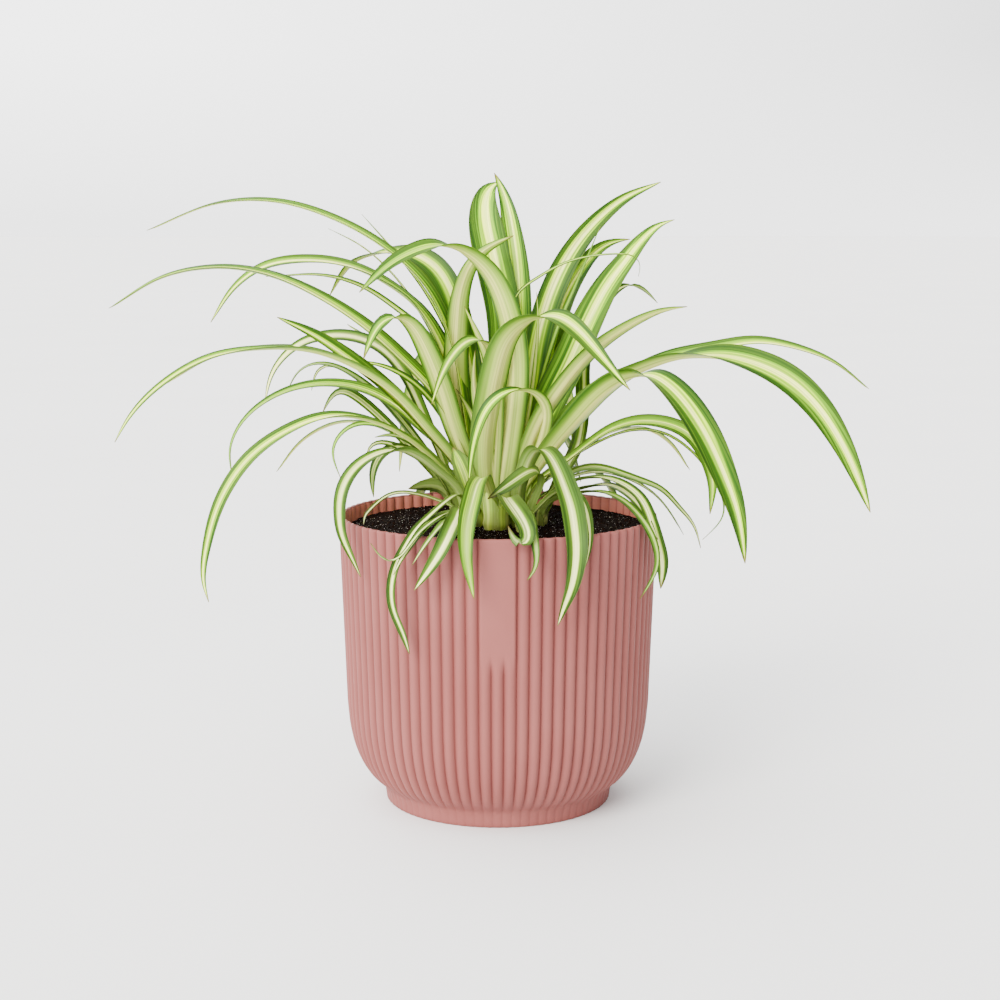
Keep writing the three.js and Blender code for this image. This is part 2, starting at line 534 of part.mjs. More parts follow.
// The route points that a blade needs a section at: where it has turned or run on enough since the last
function sectionStops(curve) {
  const last = curve.points.length - 1;
  const stops = [0];
  for (let stop = 1; stop < last; stop += 1) {
    const turned = curve.getTangent(stop / last).angleTo(curve.getTangent(stops.at(-1) / last));
    const run = curve.points[stop].distanceTo(curve.points[stops.at(-1)]);
    if (turned > THREE.MathUtils.degToRad(sectionTurn) || run > sectionRun) {
      stops.push(stop);
    }
  }
  return [...stops, last];
}

// A blade: a thin folded section carried along its route
function blade(crown, spec) {
  const [x, y] = crown.at;
  const seen = spec.route.map(sight);
  const reach = seen.at(-1).clone().sub(new THREE.Vector3(x, y, 0)).setZ(0).normalize();
  const root = new THREE.Vector3(x, y, soilLevel + rootLift).addScaledVector(reach, crown.radius / 4);
  const curve = new THREE.CatmullRomCurve3([root, ...seen], false, "centripetal");
  const bend = spec.bend === null ? Math.atan2(reach.y, reach.x) : THREE.MathUtils.degToRad(spec.bend);
  const across = new THREE.Vector3(Math.sin(bend), -Math.cos(bend), 0);
  const lengths = curve.getLengths(spec.route.length * lengthSamples);
  const stops = sectionStops(curve);
  const rings = stops.map((stop) => {
    const share = lengths[stop * lengthSamples] / lengths.at(-1);
    const centre = curve.points[stop];
    const along = curve.getTangent(stop / spec.route.length);
    const turn = THREE.MathUtils.degToRad(turnAt(spec, share));
    const side = across.clone()
      .addScaledVector(along, -across.dot(along))
      .normalize()
      .applyAxisAngle(along, turn);
    const face = side.clone().cross(along);
    return sectionAt(spec, share).map(([s, n]) => centre.clone()
      .addScaledVector(side, s)
      .addScaledVector(face, n)
      .toArray());
  });
  return toSolid(indexedGeometry(rings.flat(), bladeTriangles(stops.length - 1, rings[0].length)));
}

// Both faces of a blade are split into triangles alike, so that they stay parallel where it twists
function bladeTriangles(steps, count) {
  const triangles = [];
  for (let step = 0; step < steps; step += 1) {
    for (let corner = 0; corner < count; corner += 1) {
      const a = step * count + corner;
      const b = step * count + (corner + 1) % count;
      const [c, d] = [b + count, a + count];
      const under = corner >= count / 2 && corner < count - 1;
      triangles.push(...(under ? [a, b, d, d, b, c] : [a, b, c, a, c, d]));
    }
  }
  const last = steps * count;
  for (let corner = 0; corner < count / 2 - 1; corner += 1) {
    const [a, b, c, d] = [corner, corner + 1, count - 2 - corner, count - 1 - corner];
    triangles.push(a, c, b, a, d, c);
    triangles.push(last + a, last + b, last + c, last + a, last + c, last + d);
  }
  return triangles;
}

// A crown: its blades joined to its stock, with any pocket that they close between them filled
function crownSolid(crown) {
  const joined = crown.leaves.reduce((body, spec) => body.add(blade(crown, spec)), stock(crown));
  return joined.decompose().filter((shell) => shell.volume() > 0).reduce((body, shell) => body.add(shell));
}

function addPiece(group, name, solid, colour, roughness) {
  const material = new THREE.MeshStandardMaterial({ color: colour, roughness, metalness: 0 });
  const mesh = new THREE.Mesh(toGeometry(solid), material);
  mesh.name = name;
  group.add(mesh);
}

const plant = new THREE.Group();
addPiece(plant, "pot", pot(), colours.pot, 0.6);
addPiece(plant, "soil", soil(), colours.soil, 0.95);
for (const crown of crowns) {
  const colour = crown.name.endsWith("offset") ? colours.darkLeaf : colours.leaf;
  addPiece(plant, crown.name, crownSolid(crown), colour, 0.5);
}

export default plant;
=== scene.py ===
# A spider plant in a ribbed pot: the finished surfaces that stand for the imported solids
import math

import bpy
import numpy as np
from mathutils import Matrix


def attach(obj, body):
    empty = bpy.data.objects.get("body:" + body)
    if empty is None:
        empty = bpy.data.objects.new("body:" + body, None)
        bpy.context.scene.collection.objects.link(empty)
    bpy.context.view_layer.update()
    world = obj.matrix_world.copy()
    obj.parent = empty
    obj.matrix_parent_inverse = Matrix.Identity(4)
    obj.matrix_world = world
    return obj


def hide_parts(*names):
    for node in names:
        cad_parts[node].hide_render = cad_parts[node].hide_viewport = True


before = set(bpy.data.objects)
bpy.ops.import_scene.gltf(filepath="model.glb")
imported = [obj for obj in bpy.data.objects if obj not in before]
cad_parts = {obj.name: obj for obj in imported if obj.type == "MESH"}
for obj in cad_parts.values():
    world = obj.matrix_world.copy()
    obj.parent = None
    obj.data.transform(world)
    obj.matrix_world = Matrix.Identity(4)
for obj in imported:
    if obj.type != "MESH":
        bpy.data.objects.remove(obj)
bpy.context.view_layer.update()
print("frame loaded, nodes:", len(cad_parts))

mm = 0.001


def toLinear(hexColour):  # an sRGB hex colour as linear RGBA
    channels = [int(hexColour[i:i + 2], 16) / 255 for i in (1, 3, 5)]
    return [c / 12.92 if c <= 0.04045 else ((c + 0.055) / 1.055) ** 2.4 for c in channels] + [1.0]


# Adds a node: inputs gives each socket a value or another node's output, stops fills a colour ramp
def addNode(tree, kind, inputs=None, stops=None, **settings):
    node = tree.nodes.new(kind)
    for name, value in settings.items():
        setattr(node, name, value)
    for socket, value in (inputs or {}).items():
        if isinstance(value, bpy.types.NodeSocket):
            tree.links.new(value, node.inputs[socket])
        else:
            node.inputs[socket].default_value = value
    for index, (place, colour) in enumerate(stops or []):
        element = node.color_ramp.elements[index] if index < 2 else node.color_ramp.elements.new(place)
        element.position = place
        element.color = toLinear(colour)
    return node


def newMaterial(name):  # a material with its tree and its shader
    material = bpy.data.materials.new(name)
    material.use_nodes = True
    return material, material.node_tree, material.node_tree.nodes["Principled BSDF"]


def addObject(name, data):  # an object of the scene, at the origin
    item = bpy.data.objects.new(name, data)
    bpy.context.scene.collection.objects.link(item)
    return item


# Faces between the rows of a grid whose columns close on themselves, each end closed by a fan to its centre
def tubeFaces(rows, columns):
    index = np.arange(rows * columns).reshape(rows, columns)
    after = np.roll(index, -1, axis=1)
    quads = np.stack([index[:-1], after[:-1], after[1:], index[1:]], axis=-1).reshape(-1, 4)
    first = np.full(columns, rows * columns)
    start = np.stack([index[0], first, after[0]], axis=-1)
    end = np.stack([index[-1], after[-1], first + 1], axis=-1)
    return quads, np.concatenate([start, end])


# One mesh object from closed tubes: each is a (rows, columns, 3) grid in metres with its point attributes
def tubeObject(name, tubes, material, sharpDegrees=40):
    points, faces, attributes, offset = [], [], {}, 0
    for grid, values in tubes:
        rows, columns = grid.shape[:2]
        quads, fans = tubeFaces(rows, columns)
        ends = np.stack([grid[0].mean(axis=0), grid[-1].mean(axis=0)])
        points.append(np.concatenate([grid.reshape(-1, 3), ends]))
        faces += (quads + offset).tolist() + (fans + offset).tolist()
        for key, value in values.items():
            full = np.broadcast_to(value, (rows, columns) + np.shape(value)[2:])
            flat = full.reshape((rows * columns,) + full.shape[2:])
            attributes.setdefault(key, []).append(
                np.concatenate([flat, full[:1, 0], full[-1:, 0]]))
        offset += rows * columns + 2
    mesh = bpy.data.meshes.new(name)
    mesh.from_pydata(np.concatenate(points).tolist(), [], faces)
    for key, parts in attributes.items():
        values = np.concatenate(parts)
        kind = "FLOAT_VECTOR" if values.ndim == 2 else "FLOAT"
        layer = mesh.attributes.new(key, kind, "POINT")
        layer.data.foreach_set("vector" if values.ndim == 2 else "value", values.astype(np.float32).ravel())
    mesh.shade_smooth()
    mesh.set_sharp_from_angle(angle=math.radians(sharpDegrees))
    mesh.materials.append(material)
    piece = addObject(name, mesh)
    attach(piece, "root")
    return piece


def smoothstep(share):  # from 0 to 1 with level ends: 3 s^2 - 2 s^3
    share = np.clip(share, 0, 1)
    return share * share * (3 - 2 * share)


# The pot

potSizes = dict(  # millimetres, with radii from the axis
    height=168, rim=92, wall=3.4, floor=5, footEdge=65.1, footInside=63, footTop=10, belly=44,
    ribs=80, ribDepth=1.9, ribPower=2.1, fluteDepth=0.9, fluteBottom=150, fluteFade=3, flutePower=6,
    panelRibs=3, panelBlend=0.28, panelBottom=92, panelFade=14, panelProud=0.1,
    lipHeight=1.1, lipSteps=7, columnsPerRib=14,
    underside=[(0, 0), (19.5, 0), (20, 0), (20.2, 1.5), (20.6, 1.6), (51.4, 1.6), (51.8, 1.5), (52, 0),
               (60, 0)],  # a pad, a recess and a ring to stand on
    # Height and radius over the ribs, and below it height and share of the ribs' depth
    profile=[(0.6, 65.7), (8.5, 67), (10.5, 67.8), (12.5, 71.2), (15.5, 74.6), (20, 78.1), (25, 80.9),
             (30, 83.2), (37, 85.3), (46, 87.1), (58, 88.2), (166.9, 92)],
    ribShare=[(0.6, 0.12), (9, 0.2), (12, 0.45), (17, 0.8), (25, 1)],
    profileSoftness=2.4,
)
potFinish = dict(
    # deep: the colour of the painted shade in the rib valleys and flute grooves; inside: the inner wall's
    # colour, lighter than the body, painted light
    body="#7b4540", light="#824c47", inside="#bf7062", deep="#5c2b28", valleyShadeStrength=0.55,
    ior=1.49, roughness=(0.57, 0.69), specular=0.2, grain=0.5,
)


# The radius over the ribs: straight runs between the profile's points, softened over a small height
def potRadius(z):
    heights, radii = np.array(potSizes["profile"], float).T
    offsets = np.linspace(-2, 2, 9)
    weights = np.exp(-offsets ** 2)
    spread = potSizes["profileSoftness"]
    samples = [w * np.interp(z + d * spread, heights, radii) for d, w in zip(offsets, weights)]
    return sum(samples) / weights.sum()


# Ribs: over each pitch the wall falls from its crest by depth times |2p| to a power, p from -0.5 to 0.5, and
# ribShare fades them out over the foot. The flutes inside the rim are the same curve with 1 - |2p|, so that
# their grooves stand behind the crests. The panel replaces the ribs between its edges and fades in below.
def potGrid():
    size = potSizes
    columns = size["ribs"] * size["columnsPerRib"]
    angle = -math.pi / 2 + 2 * math.pi * np.arange(columns) / columns
    rib = np.arange(columns) / size["columnsPerRib"]
    rib = np.where(rib > size["ribs"] / 2, rib - size["ribs"], rib)
    place = np.abs(2 * (rib - np.round(rib)))
    carved = -size["ribDepth"] * place ** size["ribPower"]
    flutes = size["fluteDepth"] * (1 - place) ** size["ribPower"]
    inPanel = smoothstep((size["panelRibs"] / 2 - np.abs(rib)) / size["panelBlend"])
    lipStart = size["height"] - size["lipHeight"]
    # Heights of the rings, closest where the wall bends and where the panel fades in
    outer = np.concatenate([np.linspace(0.6, 9, 5), np.linspace(9.6, 30, 30), np.linspace(32, 60, 12),
                            [75, 90, 92, 94, 96, 98, 100, 102, 104, 106, 110, 125, 140, 155, 162],
                            np.linspace(164, lipStart, 4)])
    inner = [lipStart, 160, size["fluteBottom"], size["fluteBottom"] - size["fluteFade"], size["belly"],
             size["footTop"], size["floor"]]
    # Each row: radius over the ribs, height, and the shares of the ribs, the flutes and the panel
    rows = [(radius, z, 0, 0, 0) for radius, z in size["underside"]]
    rows.append((size["footEdge"], 0, size["ribShare"][0][1], 0, 0))  # the ribs begin here
    for z in outer:
        rows.append((potRadius(z), z, np.interp(z, *zip(*size["ribShare"])), 0,
                     smoothstep((z - size["panelBottom"]) / size["panelFade"])))
    lip = np.linspace(0, math.pi, size["lipSteps"] + 2)[1:-1]
    for turn in lip:  # a half round from the outer wall over to the inner one
        share = (1 - math.cos(turn)) / 2
        rows.append((size["rim"] - share * size["wall"], lipStart + size["lipHeight"] * math.sin(turn),
                     1 - share, share, 1 - share))
    for z in inner:
        radius = potRadius(z) - size["wall"] if z > size["footTop"] else size["footInside"]
        rows.append((radius, z, 0, float(z >= size["fluteBottom"]), 0))
    rows.append((0, size["floor"], 0, 0, 0))
    base, z, ribShare, fluteShare, panelShare = [np.array(column, float)[:, None] for column in zip(*rows)]
    relief = carved + (size["panelProud"] - carved) * panelShare * inPanel
    radius = np.maximum(base + ribShare * relief + fluteShare * flutes, 0)
    grid = np.stack([radius * np.cos(angle), radius * np.sin(angle), z + 0 * angle], axis=-1)
    # Painted shade: larger the deeper a point lies in a rib valley or a flute groove
    valleyShade = ribShare * np.clip(-relief / size["ribDepth"], 0, 1) \
        + fluteShare * (1 - place) ** size["flutePower"]
    # Marks the inner wall, which the material paints lighter and redder: painted light
    inside = np.zeros(valleyShade.shape)
    inside[-len(inner) - 1:] = 1
    return grid * mm, {"valleyShade": valleyShade, "inside": inside}


# Injection-moulded polypropylene with a matt spark-eroded grain: soft wide highlights, no clear reflection.
# The grain is 0.35 mm, drawn at 0.5 mm so that it shows, over cloudy tones 70 mm wide. The rib valleys
# and the flute grooves are darkened towards the deep colour: painted shade.
# The inner wall is painted lighter and redder than the body: painted light, brightening the inner wall.
def mouldedPolypropylene():
    finish = potFinish
    material, tree, shader = newMaterial("mouldedPolypropylene")
    place = addNode(tree, "ShaderNodeTexCoord").outputs["Object"]
    valleyShade = addNode(tree, "ShaderNodeAttribute", attribute_name="valleyShade").outputs["Fac"]
    inside = addNode(tree, "ShaderNodeAttribute", attribute_name="inside").outputs["Fac"]
    cloud = addNode(tree, "ShaderNodeTexNoise", {"Vector": place, "Scale": 14.0, "Detail": 3.0})
    grain = addNode(tree, "ShaderNodeTexNoise", {"Vector": place, "Scale": 1 / (finish["grain"] * mm),
                                                 "Detail": 2.0})
    body = addNode(tree, "ShaderNodeValToRGB", {"Fac": cloud.outputs["Fac"]},
                   [(0.3, finish["body"]), (0.7, finish["light"])])
    # Painted shade: the valleys and grooves darkened towards the deep colour
    valleyShadeStrength = addNode(tree, "ShaderNodeMath", {0: valleyShade, 1: finish["valleyShadeStrength"]}, operation="MULTIPLY")
    # Painted light: the inner wall takes the lighter inside colour
    wall = addNode(tree, "ShaderNodeMix", {0: inside, 6: body.outputs["Color"],
                                           7: toLinear(finish["inside"])}, data_type="RGBA")
    colour = addNode(tree, "ShaderNodeMix", {0: valleyShadeStrength.outputs[0], 6: wall.outputs[2],
                                             7: toLinear(finish["deep"])}, data_type="RGBA")
    rough = addNode(tree, "ShaderNodeMapRange", {0: grain.outputs["Fac"], 3: finish["roughness"][0],
                                                 4: finish["roughness"][1]})
    bump = addNode(tree, "ShaderNodeBump", {"Height": grain.outputs["Fac"], "Strength": 0.12,
                                            "Distance": 0.1 * mm})
    tree.links.new(colour.outputs[2], shader.inputs["Base Color"])
    tree.links.new(rough.outputs[0], shader.inputs["Roughness"])
    tree.links.new(bump.outputs[0], shader.inputs["Normal"])
    shader.inputs["IOR"].default_value = finish["ior"]
    shader.inputs["Specular IOR Level"].default_value = finish["specular"]
    return material


def makePot():
    piece = tubeObject("potShell", [potGrid()], mouldedPolypropylene(), 50)
    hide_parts("pot")


makePot()
print("pot made")

# The soil

soilSizes = dict(  # millimetres
    level=160, edge=87.5, footRadius=62.3, footHeight=5.6, footTop=10, bellyRadius=82.8, bellyHeight=44,
    rings=96, columns=300, lumpHeight=1.7, lumpWidths=(14, 5), crumbHeight=0.9, crumbWidths=(1.6, 2.9),
    crumbs=3600, crumbSize=(0.4, 1.5), flecks=3400, fleckSize=(0.15, 0.42), seed=7,
    crumbPush=(0.6, 1.25), crumbTilt=0.3, crumbTall=0.8, crumbLift=0.35, bareEdge=1.5,
)
soilColours = dict(wet="#050302", peat="#120906", fibre="#3c2316", fleck="#d6d2ca",
                   crumbTones=(0.0, 0.3), fleckTones=(0.45, 1.0))


# Value noise: random heights on a square lattice that repeats after 64 cells, blended between its points
def valueNoise(x, y, cell, seed):
    lattice = np.random.default_rng(seed).random((64, 64))
    u, v = x / cell + 1000, y / cell + 1000
    i, j = np.floor(u).astype(int), np.floor(v).astype(int)
    s, t = smoothstep(u - i), smoothstep(v - j)
    corner = [lattice[(i + a) % 64, (j + b) % 64] for a, b in ((0, 0), (1, 0), (0, 1), (1, 1))]
    return (corner[0] * (1 - s) + corner[1] * s) * (1 - t) + (corner[2] * (1 - s) + corner[3] * s) * t


# The soil's height: soft lumps of two widths that fade out at the wall, with crumbs of two widths on them
def soilHeight(x, y):
    size = soilSizes
    wide, narrow = size["lumpWidths"]
    small, large = size["crumbWidths"]
    lumps = 0.65 * valueNoise(x, y, wide, 1) + 0.35 * valueNoise(x, y, narrow, 2) - 0.5
    crumbs = np.abs(valueNoise(x, y, small, 3) - 0.5) + 0.5 * valueNoise(x, y, large, 4) - 0.5
    share = np.clip(np.hypot(x, y) / size["edge"], 0, 1)
    return size["level"] + size["lumpHeight"] * lumps * (1 - share ** 8) + size["crumbHeight"] * crumbs


# Moist peat: near-black and rough, with paler fibres and mineral flecks, told apart by a tone attribute, and
# fine noise about 1 mm wide
def peatSoil():
    material, tree, shader = newMaterial("moistPeat")
    place = addNode(tree, "ShaderNodeTexCoord").outputs["Object"]
    tone = addNode(tree, "ShaderNodeAttribute", attribute_name="tone").outputs["Fac"]
    noise = addNode(tree, "ShaderNodeTexNoise", {"Vector": place, "Scale": 900.0, "Detail": 4.0})
    mixed = addNode(tree, "ShaderNodeMath", {0: noise.outputs["Fac"], 1: 0.3, 2: tone},
                    operation="MULTIPLY_ADD")
    colour = addNode(tree, "ShaderNodeValToRGB", {"Fac": mixed.outputs[0]},
                     [(0.0, soilColours["wet"]), (1.0, soilColours["fleck"]), (0.3, soilColours["peat"]),
                      (0.75, soilColours["fibre"])])
    bump = addNode(tree, "ShaderNodeBump", {"Height": noise.outputs["Fac"], "Strength": 0.8,
                                            "Distance": 0.4 * mm})
    tree.links.new(colour.outputs["Color"], shader.inputs["Base Color"])
    tree.links.new(bump.outputs[0], shader.inputs["Normal"])
    shader.inputs["Roughness"].default_value = 0.95
    shader.inputs["Specular IOR Level"].default_value = 0.02
    return material


# Crumbs: blunt octahedra with their corners pushed about, strewn evenly over the disc of the soil: the
# distance from the axis goes with the square root of a random share
def crumbTubes(count, widths, tones, seed):
    size = soilSizes
    random = np.random.default_rng(seed)
    reach = (size["edge"] - size["bareEdge"]) * np.sqrt(random.random(count))
    angle = 2 * math.pi * random.random(count)
    x, y = reach * np.cos(angle), reach * np.sin(angle)
    radius = random.uniform(*widths, count) / 2
    centre = np.stack([x, y, soilHeight(x, y) + radius * size["crumbLift"]], axis=-1)[:, None]
    turn = random.random(count)[:, None] * math.pi + np.arange(4) * math.pi / 2
    push = random.uniform(*size["crumbPush"], (count, 4))
    tilt = random.uniform(-size["crumbTilt"], size["crumbTilt"], (count, 4))
    ring = np.stack([np.cos(turn) * push, np.sin(turn) * push, tilt], axis=-1) * radius[:, None, None]
    top = np.array([0, 0, size["crumbTall"]]) * radius[:, None, None]
    tubes = np.stack([centre - top + ring * 0.15, centre + ring, centre + top + ring * 0.2], axis=1) * mm
    shade = random.uniform(*tones, count)
    return [(tubes[i], {"tone": np.full((3, 4), shade[i])}) for i in range(count)]


# Rings up the inside of the pot, then inwards over the surface, with the crumbs and flecks strewn on it
def makeSoil():
    size = soilSizes
    angle = 2 * math.pi * np.arange(size["columns"]) / size["columns"]
    body = np.array([(size["footRadius"], size["footHeight"]), (size["footRadius"], size["footTop"]),
                     (size["bellyRadius"], size["bellyHeight"]), (size["edge"], size["level"] - 3)])
    radius = np.concatenate([body[:, 0], size["edge"] * np.linspace(1, 0.004, size["rings"])])
    x, y = radius[:, None] * np.cos(angle), radius[:, None] * np.sin(angle)
    z = soilHeight(x, y)
    z[:len(body)] = body[:, 1:]
    tone = 0.2 * valueNoise(x, y, 1.3, 5) ** 2
    tubes = [(np.stack([x, y, z], axis=-1) * mm, {"tone": tone})]
    tubes += crumbTubes(size["crumbs"], size["crumbSize"], soilColours["crumbTones"], size["seed"])
    tubes += crumbTubes(size["flecks"], size["fleckSize"], soilColours["fleckTones"], size["seed"] + 1)
    piece = tubeObject("soilSurface", tubes, peatSoil(), 60)
    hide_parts("soil")


makeSoil()
print("soil made")

# The leaves

leafSizes = dict(  # millimetres, except shares, powers and degrees
    middleThickness=0.75, shoulderThickness=0.55, edgeThickness=0.28, tipWidth=0.35, tipFullness=0.75,
    stepLength=3, smoothing=7, pointsAcross=15, rootLift=3, rootReach=0.25,
    foldAtRoot=0.5, foldAtTip=0.2, foldSoftness=0.2, sheathFold=0.9, sheathShare=0.06,
    wobble=5, waviness=0.07, waveLength=31, stripeShift=0.16, stripePower=(0.8, 1.2),
    palenessLength=38, dryLength=(0.5, 4), seed=21,
)
footSizes = dict(  # the stock and the sheaths around it: millimetres, shares and radians
    stock=[(-16, 0.75), (-1, 0.84), (3, 1), (7, 0.88), (10, 0.62), (13, 0.36), (15, 0.1)],
    stockRibs=0.05, stockColumns=28, paleness=0.85, darkeningNearSoil=0.55, darkeningHeight=12,
    sheaths=4, sheathHeight=(15, 27), sheathDepth=4, sheathTurn=1.5, sheathThickness=0.7, sheathGap=0.2,
    sheathScoop=2.5, sheathLean=0.3, sheathRows=14, sheathColumns=11,
)
eye = np.array([1.2, -1050, 335.3])  # the camera's place, which the leaf routes are drawn from
# The two leaves that hang over the rim in front: one has a broad stripe, the other a narrow one
ownStripe = {("centre_crown", 3): 1.6, ("front_right_offset", 3): 0.8}


# A leaf: full width, route as (across, depth, up) on the upright plane through the pot's axis, how its upper
# face turns to the right from root to tip, the compass angle it bends over to, and where it is widest
def leaf(width, route, turn=(0, 0), bend=None, widest=0.42):
    return dict(width=width, route=route, turn=turn, bend=bend, widest=widest)


leftCrown = [
    leaf(12, [(-15, 3, 190), (-20, 5, 230), (-27, 7, 268), (-40, 9, 297), (-60, 12, 317), (-90, 17, 335),
        (-125, 22, 346), (-160, 26, 345), (-199, 30, 330)], turn=(-20, -5)),
    leaf(15, [(-15, 1, 190), (-24, -1, 215), (-38, -4, 238), (-55, -6, 256), (-75, -7, 274), (-100, -6, 291),
        (-128, -4, 304), (-157, -2, 309), (-190, 0, 304), (-222, 2, 286)], turn=(-30, -5)),
    leaf(15, [(-16, 4, 195), (-24, 7, 232), (-32, 11, 262), (-45, 16, 285), (-62, 21, 299), (-82, 24, 309),
        (-105, 26, 313), (-132, 28, 310), (-150, 28, 298), (-164, 28, 278)], turn=(-50, -5, -50)),
    leaf(6, [(-16, 5, 195), (-26, 10, 240), (-40, 22, 270), (-58, 32, 286), (-78, 38, 299), (-100, 42, 305),
        (-132, 45, 304)], turn=(-40, -20)),
    leaf(16, [(-14, 4, 185), (-18, 6, 205), (-22, 7, 228), (-24, 7, 252), (-23, 7, 275), (-21, 6, 295),
        (-15, 5, 311), (-6, 4, 320), (9, 3, 327)], bend=-90, widest=0.35),
    leaf(14, [(-13, 0, 180), (-20, -4, 200), (-27, -9, 220), (-33, -13, 240), (-41, -17, 261),
        (-50, -21, 277), (-59, -24, 282), (-67, -25, 278), (-73, -26, 268), (-77, -26, 257)], bend=-110,
        widest=0.5),
    leaf(13, [(-14, 0, 178), (-26, -4, 198), (-42, -9, 217), (-60, -14, 236), (-82, -19, 255),
        (-105, -23, 271), (-126, -26, 281)], turn=(-40, -50), widest=0.6),
    leaf(11, [(-14, -1, 178), (-26, -8, 198), (-42, -15, 217), (-60, -21, 237), (-80, -26, 251),
        (-105, -30, 261), (-132, -33, 263), (-165, -35, 258), (-195, -36, 241), (-212, -36, 224),
        (-221, -36, 209)], turn=(40, -30), bend=-150),
    leaf(9, [(-15, 4, 185), (-28, 8, 203), (-44, 12, 217), (-60, 15, 231), (-78, 17, 240), (-98, 18, 243),
        (-118, 18, 240), (-135, 17, 232), (-148, 16, 220), (-155, 15, 205), (-154, 14, 190)],
        turn=(-40, -30)),
    leaf(11, [(-14, -2, 172), (-24, -10, 183), (-38, -20, 199), (-55, -30, 213), (-75, -39, 222),
        (-97, -47, 224), (-120, -54, 216), (-143, -59, 200), (-160, -62, 176), (-169, -64, 149),
        (-172, -65, 128), (-169, -65, 115)], turn=(0, -30), bend=-140, widest=0.5),
    leaf(6, [(-17, 4, 195), (-30, 9, 222), (-45, 12, 241), (-62, 14, 252), (-84, 15, 257)], turn=(-40, -40)),
    leaf(5, [(-20, 0, 180), (-45, -6, 208), (-68, -10, 219), (-82, -12, 220), (-92, -13, 213),
        (-96, -13, 203), (-91, -13, 188)], turn=(-30, -30)),
    leaf(11, [(-15, -10, 178), (-18, -13, 187), (-20, -15, 194), (-23, -15, 200), (-26, -13, 206)], bend=100,
        widest=0.75),
]
centreCrown = [
    leaf(19, [(0, -9, 180), (5, -10, 215), (8, -11, 245), (7, -12, 270), (2, -13, 290), (-6, -15, 306),
        (-18, -18, 317), (-32, -21, 322), (-47, -24, 319), (-62, -27, 311), (-79, -30, 295)], bend=-110,
        turn=(0, -25)),
    leaf(18, [(-5, -12, 178), (-7, -15, 205), (-4, -18, 230), (0, -21, 251), (5, -24, 267), (13, -27, 276),
        (23, -31, 281), (34, -37, 281), (45, -43, 274), (57, -50, 261), (68, -56, 248), (76, -60, 239)],
        bend=-70, turn=(0, 20), widest=0.35),
    leaf(8, [(-2, -10, 185), (0, -12, 225), (-1, -15, 252), (-7, -19, 267), (-15, -23, 269), (-24, -27, 262),
        (-32, -30, 249), (-38, -32, 231)], bend=-110, turn=(0, -30), widest=0.6),
    leaf(11, [(-4, -14, 176), (-8, -24, 188), (-12, -46, 185), (-15, -70, 175), (-18, -92, 162),
        (-19, -103, 150), (-18, -105, 138), (-16, -105, 127), (-14, -104, 117)], bend=-90, widest=0.55),
    leaf(6, [(-5, -8, 190), (-9, -6, 208), (-15, -3, 225), (-24, 0, 240)], bend=-100),
    leaf(8, [(0, -6, 200), (-2, -3, 235), (-7, -1, 260), (-13, -1, 274), (-19, -1, 287)], bend=-100),
    leaf(7, [(-2, -10, 190), (-10, -12, 220), (-14, -13, 245), (-13, -14, 262)], bend=-90),
    leaf(3, [(5, -5, 200), (8, -4, 250), (7, -4, 282), (11, -4, 295), (22, -5, 303), (38, -6, 312),
        (55, -7, 316), (70, -8, 317), (79, -8, 316), (82, -8, 311), (80, -8, 304)], turn=(30, 30), bend=0),
]
